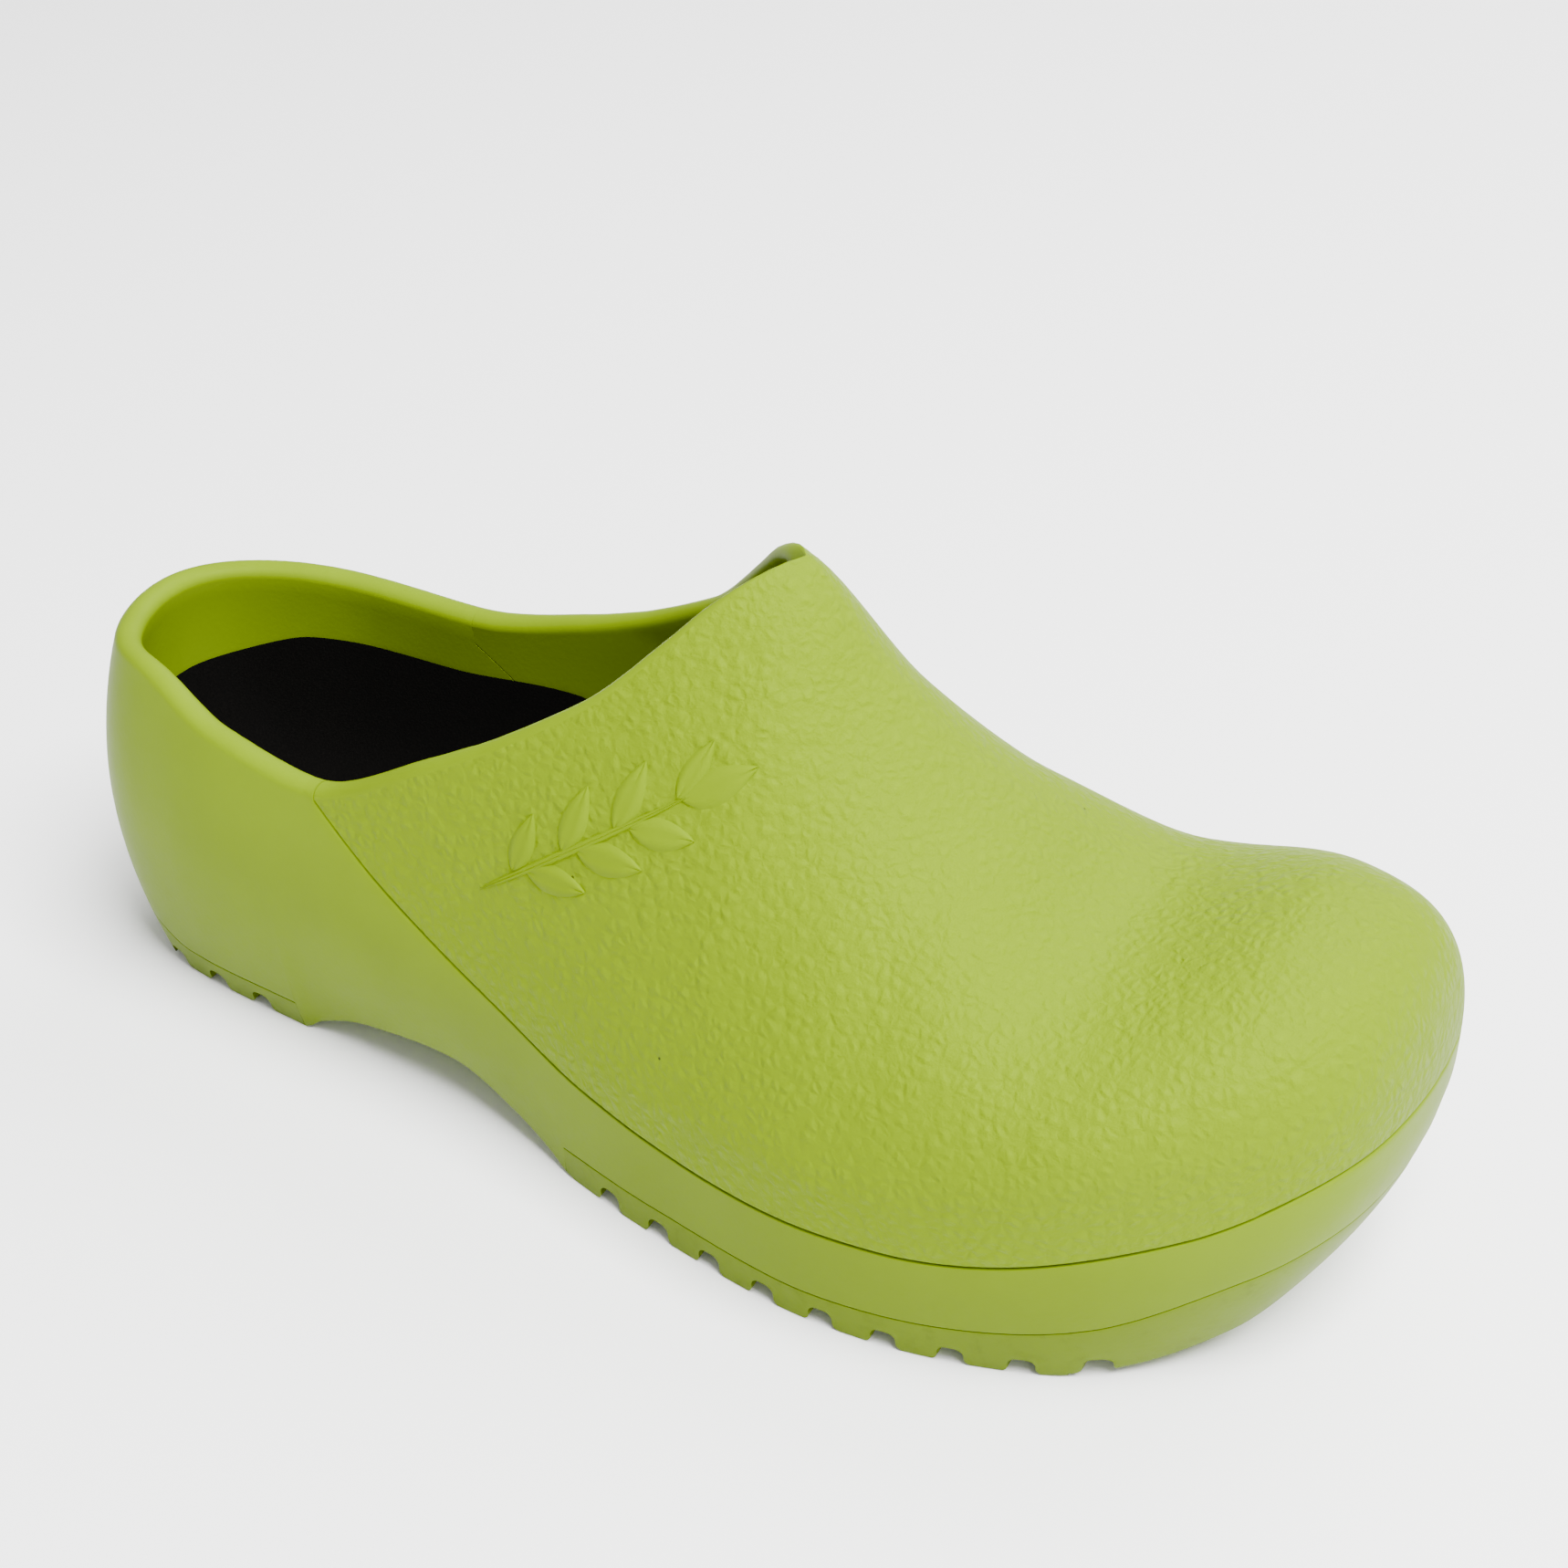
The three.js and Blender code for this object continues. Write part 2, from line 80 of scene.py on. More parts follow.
class ClogShape(bpy.types.PropertyGroup):
    """Sizes of the clog in millimetres, as the CAD frame has them."""

    length: size("Length", "Heel to toe", 279)
    ball_width: size("Ball width", "Across the ball of the foot", 105)
    instep_height: size("Instep height", "Top of the pointed collar peak", 122)
    heel_collar: size("Heel collar", "Collar at the back of the heel", 77)
    side_collar: size("Lateral collar", "Lowest point of the collar outside", 66)
    medial_collar: size("Medial collar", "Lowest point of the collar inside", 73)
    toe_box: size("Toe box", "Crown of the toe box", 77.5)
    waist: size("Waist", "Dip of the top line behind the toe box", 67.4)
    parting: size("Parting line", "Joint line along the ball", 24)
    toe_parting: size("Toe parting line", "Joint line at the toe tip", 48)
    arch_rise: size("Arch rise", "Underside of the arch above the ground", 12)
    toe_spring: size("Toe spring", "Underside of the toe tip above the ground", 17)
    heel_bevel: size("Heel bevel", "Underside of the heel tip above the ground", 9)
    heel_belt: size("Heel belt", "Widest level of the walls at the heel", 45)
    ball_belt: size("Ball belt", "Widest level of the walls at the ball", 34)
    toe_belt: size("Toe belt", "Widest level of the walls at the toe tip", 51)
    wall: size("Wall", "Thickness of collar and upper", 5)
    side_wall: size("Side wall", "Sole wall beside the footbed", 7)
    heel_floor: size("Heel floor", "Sole thickness under the heel", 24)
    ball_floor: size("Ball floor", "Sole thickness under the ball", 14)
    tread: size("Tread", "Tread thickness", 7.5)
    toe_tread: size("Toe tread", "Joint line between tread and sole at the toe tip", 32)
    sole_skin: size("Sole skin", "Sole wall between cavity and tread at the toe", 1.4)
    heel_tread_end: size("Heel tread end", "Front of the heel tread", 57)
    ball_tread_start: size("Ball tread start", "Back of the ball tread", 128)
    rim_round: size("Rim rounding", "Height of the rounded collar edge", 2.2)
    edge_round: size("Edge rounding", "Rounding beside the joint lines", 0.7)
    seam_round: size("Seam rounding", "Rounding beside the seam of the tread", 0.25)


class ClogTread(bpy.types.PropertyGroup):
    """Grooves across the treads, in millimetres."""

    pitch: size("Pitch", "Groove to groove", 12.3)
    width: size("Width", "Groove width at its root", 4.8)
    depth: size("Depth", "Groove depth", 4.4)
    mouth: size("Mouth radius", "Rounding where a groove meets the ground", 1.8)
    heel_last: size("Heel groove", "Front groove of the heel", 46)
    ball_first: size("Ball groove", "Back groove of the ball", 140)
    heel_count: IntProperty(
        name="Heel grooves", description="Grooves in the heel", default=4, min=0)
    ball_count: IntProperty(
        name="Ball grooves", description="Grooves in the ball", default=9, min=0)


class ClogFootbed(bpy.types.PropertyGroup):
    """Sizes of the loose footbed in millimetres."""

    heel: size("Heel height", "Top of the footbed, middle of the heel", 34)
    ball: size("Ball height", "Top of the footbed, under the ball", 23)
    cup: size("Heel cup", "Rim round the heel", 58)
    arch: size("Arch support", "Rim at the medial arch", 62)
    lateral: size("Lateral rim", "Rim on the lateral side", 53)
    toe: size("Toe rim", "Rim round the toes", 32)
    sharpness: size("Cup sharpness", "How late the footbed turns up into its rim", 3.2)
    cover: size("Cover", "Thickness of the microfibre cover", 1.6)
    textile: size("Textile", "Thickness of the upper jute layer", 1.2)
    base: size("Base", "Thickness of the lower jute layer", 1.2)
    clearance: size("Clearance", "Footbed edge to the sole wall", 2.6)
    gap: size("Gap", "Between layers", 0.3)
    floor_gap: size("Floor gap", "Footbed above the floor", 0.5)


class ClogFinish(bpy.types.PropertyGroup):
    """Colours of the clog."""

    lime: colour("Lime", "Moulded shell", (0.128, 0.198, 0.0))
    lime_deep_and_shade: colour("Deep lime", "Shell in its pores, seams and grooves", (0.075, 0.11, 0.0))
    # Deep lime: the darker tone of random patches and scuff grime, and also painted shade in the
    # grain creases and low down near the floor.
    microfibre: colour("Microfibre", "Footbed cover", (0.0006, 0.0005, 0.0004))
    jute: colour("Jute", "Footbed textile", (0.36, 0.25, 0.13))
    cork: colour("Cork", "Footbed core", (0.24, 0.12, 0.05))
    floor: colour("Floor", "Studio floor", (0.97, 0.97, 0.97))


# ---------------------------------------------------------------- the last
def through(points):
    """Smooth curve through a few points that never overshoots them; flat outside its ends."""
    xs = np.array([p[0] for p in points], float)
    ys = np.array([p[1] for p in points], float)
    secants = np.diff(ys) / np.diff(xs)
    slopes = np.zeros(len(xs))
    before, after = secants[:-1], secants[1:]
    same = before * after > 0
    slopes[1:-1][same] = (2 * before * after / np.where(same, before + after, 1))[same]

    def curve(x):
        x = np.clip(x, xs[0], xs[-1])
        i = np.clip(np.searchsorted(xs, x, side="left") - 1, 0, len(xs) - 2)
        span = xs[i + 1] - xs[i]
        t = (x - xs[i]) / span
        blend = t * t * (3 - 2 * t)
        start = slopes[i] * span * t * (1 - t) ** 2
        end = slopes[i + 1] * span * t * t * (t - 1)
        return ys[i] + (ys[i + 1] - ys[i]) * blend + start + end

    return curve


def closed_curve(points, steps):
    """Closed Catmull-Rom curve through plan points."""
    points = np.array(points, float)
    count = len(points)
    along = np.arange(steps + 1) * count / steps
    i = np.floor(along).astype(int)
    t = (along - i)[:, None]
    a, b, c, d = (points[(i + k) % count] for k in (-1, 0, 1, 2))
    second, third = 2 * a - 5 * b + 4 * c - d, 3 * b - a - 3 * c + d
    return 0.5 * (2 * b + (c - a) * t + second * t**2 + third * t**3)


class Last:
    """The form that every piece of the clog is wrapped round, in millimetres from the heel."""

    LATERAL = [
        (0, 0), (0.03, -0.22), (0.108, -0.31), (0.245, -0.35), (0.4, -0.39),
        (0.54, -0.48), (0.675, -0.55), (0.81, -0.52), (0.917, -0.375), (0.98, -0.185),
    ]
    MEDIAL = [
        (1, 0.11), (0.98, 0.31), (0.885, 0.443), (0.77, 0.459), (0.645, 0.434),
        (0.52, 0.382), (0.387, 0.335), (0.25, 0.328), (0.12, 0.305), (0.03, 0.18),
    ]

    def __init__(self, s):
        self.s = s
        top, wide = s.instep_height, s.ball_width

        def at(fraction):
            return fraction * s.length

        plan = closed_curve([(at(x), y * wide) for x, y in self.LATERAL + self.MEDIAL], 4000)
        toe = 2000
        self.lateral_plan, self.medial_plan = plan[: toe + 1], plan[toe:][::-1]
        self.shift = np.array([-s.length / 2, -(plan[:, 1].min() + plan[:, 1].max()) / 2, 0.0])
        self.heel_centre, self.toe_centre = at(0.15), at(0.835)
        self.peak, self.parting_start = at(0.553), at(0.24)
        self.spine = through([(0, 0), (at(0.54), 0.02 * wide), (s.length, 0.07 * wide)])
        self.ridge = through([
            (0, 0.95 * top), (at(0.22), 0.975 * top), (at(0.4), 1.06 * top),
            (at(0.49), 1.055 * top), (at(0.553), top), (at(0.62), 0.83 * top),
            (at(0.7), 0.68 * top), (at(0.8), s.waist), (at(0.91), s.toe_box),
            (s.length, 1.06 * s.toe_box),
        ])
        self.belt = through([
            (0, s.heel_belt), (at(0.29), 0.87 * s.heel_belt), (at(0.54), s.ball_belt),
            (at(0.72), 1.06 * s.ball_belt), (at(0.9), 0.92 * s.toe_belt), (s.length, s.toe_belt),
        ])
        self.crown_power = through([
            (0, 1.85), (at(0.29), 1.82), (at(0.54), 1.3), (at(0.68), 1.55), (at(0.8), 2.5),
            (at(0.84), 3.0),
        ])
        self.shoulder_power = through([
            (0, 1.9), (at(0.29), 1.87), (at(0.54), 1.5), (at(0.68), 1.9), (at(0.8), 2.9),
            (at(0.84), 2.3),
        ])
        self.tuck = through([
            (0, 0.18), (at(0.14), 0.21), (at(0.36), 0.1), (at(0.54), 0.03), (at(0.7), 0.05),
            (at(0.82), 0.1), (s.length, 0.16),
        ])
        self.underside = through([
            (0, s.heel_bevel), (8, 0.3 * s.heel_bevel), (18, 0), (s.heel_tread_end, 0),
            (s.heel_tread_end + 5, 0.3 * s.arch_rise), (at(0.27), 0.75 * s.arch_rise),
            (at(0.35), s.arch_rise), (at(0.41), 0.6 * s.arch_rise),
            (s.ball_tread_start - 5, 0.3 * s.arch_rise), (s.ball_tread_start + 2, 0),
            (at(0.82), 0), (at(0.88), 0.15 * s.toe_spring), (at(0.94), 0.47 * s.toe_spring),
            (s.length, s.toe_spring),
        ])
        self.tread_line = through([
            (at(0.04), 0.75 * (s.heel_bevel + s.tread)), (at(0.09), s.tread), (at(0.65), s.tread),
            (at(0.72), 1.15 * s.tread), (at(0.85), 0.45 * s.toe_tread),
            (at(0.94), 0.8 * s.toe_tread), (s.length, s.toe_tread),
        ])
        self.floor = through([
            (at(0.1), s.heel_floor), (at(0.35), s.heel_floor), (at(0.6), s.ball_floor),
            (at(0.85), s.ball_floor), (at(0.93), s.ball_floor + 0.27 * s.toe_spring),
            (s.length, s.ball_floor + 0.75 * s.toe_spring),
        ])
        self.parting = through([
            (at(0.215), 1.08 * s.side_collar), (at(0.24), s.side_collar),
            (at(0.315), 0.75 * s.side_collar), (at(0.394), 0.55 * s.side_collar),
            (at(0.484), 0.4 * s.side_collar),
            (at(0.59), 0.96 * s.parting), (at(0.72), 1.04 * s.parting),
            (at(0.9), 0.78 * s.toe_parting), (s.length, s.toe_parting),
        ])
        self.lateral_collar = through([
            (0, s.heel_collar), (at(0.07), s.heel_collar), (at(0.16), 1.05 * s.side_collar),
            (at(0.237), s.side_collar), (at(0.34), 0.65 * top), (at(0.448), 0.805 * top),
            (self.peak, top),
        ])
        self.medial_collar = through([
            (0, s.heel_collar), (at(0.07), 0.985 * s.heel_collar),
            (at(0.16), 1.01 * s.medial_collar), (at(0.237), s.medial_collar),
            (at(0.34), 0.655 * top), (at(0.448), 0.78 * top), (self.peak, top),
        ])

        # On the lateral side the upper starts where there is room for its rounded edge.
        along = np.linspace(self.parting_start, self.peak, 4000)
        room = self.lateral_collar(along) - s.rim_round - self.parting(along) > PARTING_GAP
        self.lateral_start = along[np.argmax(room)]

    def collar(self, x, y):
        """Height of the collar line, blended between its two sides across the middle."""
        blend = 3 * self.s.wall
        share = np.clip((y + blend) / (2 * blend), 0, 1)
        return self.lateral_collar(x) * (1 - share) + self.medial_collar(x) * share


class Ring:
    """Sections of the last in order round the clog, each at its own distance from the heel."""

    def __init__(self, last, x, lateral):
        self.last, self.x, self.lateral = last, x, lateral
        plan_y = np.where(
            lateral,
            np.interp(x, last.lateral_plan[:, 0], last.lateral_plan[:, 1]),
            np.interp(x, last.medial_plan[:, 0], last.medial_plan[:, 1]),
        )
        self.cx = np.clip(x, last.heel_centre, last.toe_centre)
        self.cy = last.spine(self.cx)
        self.medial = plan_y > self.cy
        self.reach = np.hypot(x - self.cx, plan_y - self.cy)
        self.ox, self.oy = (x - self.cx) / self.reach, (plan_y - self.cy) / self.reach
        self.widest = last.belt(self.cx)

    def place(self, radius, z):
        """Points at a radius from the spine and a height."""
        radius, z = np.broadcast_arrays(radius, z)
        return np.stack([self.cx + self.ox * radius, self.cy + self.oy * radius, z], -1)

    def inward(self, share):
        """Distance from the heel of points at a share of the reach."""
        return self.cx + (self.x - self.cx) * share

    def share_at(self, z):
        """Share of the reach that the outer surface keeps at a height."""
        last = self.last
        low = last.underside(self.x)
        wall = 1 - last.tuck(self.x) * ((self.widest - z) / (self.widest - low)) ** 2
        climb = np.clip((z - self.widest) / (last.ridge(self.cx) - self.widest), 0, 1)
        dome = (1 - climb ** last.crown_power(self.cx)) ** (1 / last.shoulder_power(self.cx))
        return np.where(z <= self.widest, wall, dome)

    def dome(self, share, lowered):
        """Height of the dome at a share of the reach."""
        last = self.last
        ridge = last.ridge(self.inward(share))
        crown = np.where(self.x < last.heel_centre, last.ridge(last.heel_centre), ridge)
        powers = last.shoulder_power(self.cx), last.crown_power(self.cx)
        rise = np.clip(1 - share ** powers[0], 0, 1) ** (1 / powers[1])
        return self.widest + (crown - lowered - self.widest) * rise

    def outside(self, q):
        """Outer surface: q runs from 0 at the underside, over 1 at the belt, to 2 at the crown."""
        low = self.last.underside(self.x)
        wall_z = low + (self.widest - low) * np.minimum(q, 1)
        share = np.where(q <= 1, self.share_at(wall_z), np.cos((np.clip(q, 1, 2) - 1) * pi / 2))
        share = np.where(q >= 2, 0, share)
        z = np.where(q <= 1, wall_z, self.dome(share, 0))
        return self.reach * share, z

    def inside_radius(self, z):
        """Radius of the inner wall at a height: the wall thins towards the collar."""
        s = self.last.s
        high = np.clip((z - self.widest) / (s.medial_collar - self.widest), 0, 1)
        return self.reach * self.share_at(z) - (s.side_wall + (s.wall - s.side_wall) * high)

    def inside(self, q):
        """Inner surface: q runs from 0 at the floor, over 1 at the belt, to 2 at the crown."""
        s = self.last.s
        low = self.last.floor(self.x)
        wall_z = low + (self.widest - low) * np.minimum(q, 1)
        share = np.where(q >= 2, 0, np.cos((np.clip(q, 1, 2) - 1) * pi / 2))
        high = np.clip((1 - share) * 5, 0, 1)
        thickness = s.side_wall + (s.wall - s.side_wall) * high
        radius = np.where(q <= 1, self.inside_radius(wall_z), (self.reach - thickness) * share)
        return radius, np.where(q <= 1, wall_z, self.dome(share, s.wall))

    def crossing(self, surface, height):
        """The q at which a surface climbs through a height curve; 2 where it never does."""
        low, high = np.zeros(len(self.x)), np.full(len(self.x), 2.0)
        for _ in range(40):
            middle = (low + high) / 2
            radius, z = surface(middle)
            point = self.place(radius, z)
            below = z < height(point[:, 0], point[:, 1])
            low, high = np.where(below, middle, low), np.where(below, high, middle)
        return (low + high) / 2


def ring_of(last, start, end, count):
    """Sections between two distances from the heel.

    Up to the toe tip they run lateral side, toe, medial side; from the heel tip they run medial
    side, heel, lateral side; over the whole length they close a ring.
    """
    length = last.s.length
    full = length * (1 - np.cos(np.linspace(0, pi, count + 1))) / 2
    between = full[(full > start + LEAST_STEP) & (full < end - LEAST_STEP)]
    x = np.concatenate([[start], between, [end]])
    if end >= length:
        back = x[::-1][1:] if start > 0 else x[::-1][1:-1]
        xs = np.concatenate([x, back])
        return Ring(last, xs, np.arange(len(xs)) < len(x))
    back = x[::-1]
    xs = np.concatenate([back, x[1:]])
    return Ring(last, xs, np.arange(len(xs)) >= len(back))


# ---------------------------------------------------------------- meshes
def piece(name, points, faces, body, replaced, second_finish=None):
    """A closed piece from points in millimetres; some of its faces may take a second finish."""
    mesh = bpy.data.meshes.new(name)
    mesh.from_pydata((np.asarray(points) * MM).tolist(), [], [list(map(int, f)) for f in faces])
    if second_finish is not None:
        mesh.polygons.foreach_set("material_index", second_finish.astype(np.int32))
    obj = bpy.data.objects.new(name, mesh)
    bpy.context.scene.collection.objects.link(obj)
    select(obj)
    bpy.ops.object.mode_set(mode="EDIT")
    bpy.ops.mesh.select_all(action="SELECT")
    bpy.ops.mesh.remove_doubles(threshold=0.00001)
    bpy.ops.mesh.normals_make_consistent(inside=False)
    bpy.ops.object.mode_set(mode="OBJECT")
    bpy.ops.object.shade_smooth_by_angle(angle=SMOOTH_ANGLE)
    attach(obj, body)
    if replaced:
        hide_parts(replaced)
    return obj


def select(*objects):
    """Select only these objects; the last one is active."""
    bpy.ops.object.select_all(action="DESELECT")
    for obj in objects:
        obj.select_set(True)
    bpy.context.view_layer.objects.active = objects[-1]


def rows_on(ring, surface, start, end, count):
    """Rows of points on a surface between two q values given per section."""
    return [ring.place(*surface(start + (end - start) * t)) for t in np.linspace(0, 1, count)]


def unit(vectors):
    """Vectors of length one."""
    return vectors / np.maximum(np.linalg.norm(vectors, axis=-1, keepdims=True), 1e-9)


def corner(row, before, after, reach, steps=4):
    """A corner row replaced by a small arc that starts and ends a reach away from it."""
    ends = []
    for neighbour in (before, after):
        way = neighbour - row
        half = np.linalg.norm(way, axis=-1, keepdims=True) / 2
        ends.append(row + unit(way) * np.minimum(reach, half))
    one, two = ends
    return [one * (1 - t) ** 2 + 2 * row * t * (1 - t) + two * t**2
            for t in np.linspace(0, 1, steps)]


def nearest_inside(ring, points):
    """The q on the inner surface that lies nearest to points on the outer surface."""
    count = len(ring.x)
    best, chosen = np.full(count, np.inf), np.full(count, 2.0)
    for q in np.linspace(0.3, 2, 1701):
        gap = np.linalg.norm(ring.place(*ring.inside(np.full(count, q))) - points, axis=1)
        chosen = np.where(gap < best, q, chosen)
        best = np.minimum(gap, best)
    return chosen


def collar_edge(ring, open_columns, around_heel=False, lowest=0.0):
    """Where the outer and inner surfaces end at the collar, and the round edge between them.

    Past the peak, where the upper is closed, both surfaces run on to the spine and the rows of the
    edge lie on it.
    """
    last, s = ring.last, ring.last.s
    fade = np.clip((last.peak - ring.x) / PEAK_FADE, 0, 1)
    q_out = np.where(open_columns, ring.crossing(
        ring.outside, lambda x, y: last.collar(x, y) - s.rim_round * fade), 2.0)
    q_out = np.maximum(q_out, lowest)
    outer = ring.place(*ring.outside(q_out))
    q_in = np.where(open_columns, nearest_inside(ring, outer), 2.0)
    inner = ring.place(*ring.inside(q_in))
    order = np.flatnonzero(open_columns)
    if around_heel:
        order = np.roll(order, -1 - np.argmax(np.diff(order)))
    along = np.zeros_like(outer)
    along[order] = np.gradient(outer[order], axis=0)
    upward = unit(np.cross(along, outer - inner))
    if upward[order][:, 2].sum() < 0:
        upward = -upward
    full = EDGE_FULLNESS * np.linalg.norm(outer - inner, axis=1)
    room = np.maximum(last.collar(outer[:, 0], outer[:, 1]) - outer[:, 2], 0.05)
    height = np.minimum(full, room + (1 - fade) * EDGE_AT_PEAK * full)[:, None]
    rows = []
    for t in np.linspace(0, pi, 11)[1:-1]:
        middle = (outer + inner) / 2 + (outer - inner) / 2 * cos(t)
        rows.append(middle + upward * height * sin(t) * open_columns[:, None])
    return q_out, q_in, rows


def stitch(rows, closed_columns, centre_rows=(), skip=None):
    """Points and faces of rows that close on themselves round each section."""
    points = np.stack(rows, axis=1)
    columns, count = points.shape[:2]
    faces, face_rows = [], []
    for i in range(columns if closed_columns else columns - 1):
        a, b = i * count, (i + 1) % columns * count
        for j in range(count):
            k = (j + 1) % count
            if j in centre_rows and k in centre_rows:
                continue
            if skip is not None and skip(i, (i + 1) % columns, j, k):
                continue
            faces.append((a + j, b + j, b + k, a + k))
            face_rows.append(j)
    if not closed_columns:
        faces.append(tuple(range(count)))
        faces.append(tuple((columns - 1) * count + j for j in reversed(range(count))))
        face_rows += [count, count]
    return points.reshape(-1, 3), faces, np.array(face_rows)


def add_upper(last, columns=230):
    """Upper: from the parting line over the instep and toes, with the pointed collar in front."""
    s = last.s
    ring = ring_of(last, last.parting_start, s.length, columns)
    kept = ~ring.lateral | (ring.x > last.lateral_start + LEAST_STEP)
    xs = np.concatenate([[last.lateral_start + FLANK], ring.x[kept]])
    ring = Ring(last, xs, np.concatenate([[True], ring.lateral[kept]]))
    open_columns = ring.x < last.peak
    low = last.parting(ring.x) + PARTING_GAP
    bottom_out = ring.crossing(ring.outside, lambda x, y: low)
    bottom_in = ring.crossing(ring.inside, lambda x, y: low)
    above = 0.002
    q_out, q_in, edge = collar_edge(ring, open_columns, lowest=bottom_out + above)
    q_in = np.maximum(q_in, bottom_in + above)
    outer = rows_on(ring, ring.outside, bottom_out, q_out, 110)
    inner = rows_on(ring, ring.inside, q_in, bottom_in, 50)
    start = corner(outer[0], inner[-1], outer[2], s.edge_round)
    rows = start + outer[2:] + edge + inner
    first = len(start) + len(outer[2:]) - 1
    final = first + 1 + len(edge)
    on_spine = ~open_columns

    def skip(i, j, a, b):
        return on_spine[i] and on_spine[j] and first <= a and b <= final and a < b

    points, faces, face_rows = stitch(rows, False, skip=skip)
    return piece("upper_fine", points + last.shift, faces, "shell", "upper",
                 second_finish=face_rows >= first)


def sole_bottom(ring, in_tread):
    """Rows under the sole: flat on the arch, hollowed for the tread elsewhere."""
    last, s = ring.last, ring.last.s
    line = last.tread_line(ring.x) + TREAD_GAP
    under = last.underside(ring.x)
    edge_z = np.where(in_tread, line, under)
    core_z = np.where(in_tread, np.minimum(under + s.tread + TREAD_GAP, line), under)
    edge_r = ring.reach * ring.share_at(edge_z)
    hollow_r = ring.inside_radius(line) + s.sole_skin - TREAD_GAP
    core_r = np.where(in_tread, hollow_r, edge_r - 2.0)
    core_r = np.minimum(core_r, edge_r - 0.5)
    rows = [ring.place(core_r * t, core_z) for t in (0, 0.5, 0.9, 1)]
    return rows + [ring.place(core_r, edge_z)], edge_z


def add_sole(last, columns=230):
    """Sole unit: side wall, heel counter and the inside of the shell down to its floor."""
    s = last.s
    ring = ring_of(last, 0, s.length, columns)
    extra = [last.parting_start - 0.1, last.parting_start + 0.1]
    for x in (s.heel_tread_end, s.ball_tread_start, last.lateral_start):
        extra += [x - FLANK, x + FLANK]
    half = len(ring.x) // 2
    x_up = np.sort(np.concatenate([ring.x[: half + 1], extra]))
    xs = np.concatenate([x_up, x_up[::-1][1:-1]])
    ring = Ring(last, xs, np.arange(len(xs)) < len(x_up))
    in_tread = (ring.x < s.heel_tread_end) | (ring.x > s.ball_tread_start)
    with_collar = ring.x < np.where(ring.lateral, last.lateral_start, last.parting_start)
    bottom, edge_z = sole_bottom(ring, in_tread)
    q_edge = ring.crossing(ring.outside, lambda x, y: edge_z)
    top = last.parting(ring.x) - PARTING_GAP
    q_top_out = ring.crossing(ring.outside, lambda x, y: top)
    q_top_in = ring.crossing(ring.inside, lambda x, y: top)
    q_out, q_in, edge = collar_edge(ring, with_collar, around_heel=True)
    q_out = np.where(with_collar, q_out, q_top_out)
    q_in = np.where(with_collar, q_in, q_top_in)
    outer = rows_on(ring, ring.outside, q_edge, q_out, 70)
    inner = rows_on(ring, ring.inside, q_in, np.zeros(len(xs)), 40)
    flat = [outer[-1] + (inner[0] - outer[-1]) * t
            for t in np.linspace(0, 1, len(edge) + 2)[1:-1]]
    choose = with_collar[:, None]
    parted = corner(outer[-1], outer[-3], inner[0], s.edge_round)
    plain = [outer[-3] + (outer[-1] - outer[-3]) * t for t in (0.25, 0.5, 0.75, 1)]
    parted = [np.where(choose, a, b) for a, b in zip(plain, parted)]
    edge = [np.where(choose, a, b) for a, b in zip(edge, flat)]
    low_corner = corner(outer[0], bottom[-1], outer[2], s.seam_round)
    inner_r = np.linalg.norm(inner[-1][:, :2] - np.stack([ring.cx, ring.cy], -1), axis=1)
    floor = [ring.place(inner_r * t, last.floor(ring.inward(t))) for t in (0.9, 0.75, 0.45, 0)]
    rows = bottom + low_corner + outer[2:-2] + parted + edge + inner + floor
    points, faces, _ = stitch(rows, True, centre_rows=(0, len(rows) - 1))
    return piece("sole_fine", points + last.shift, faces, "shell", "sole_unit")


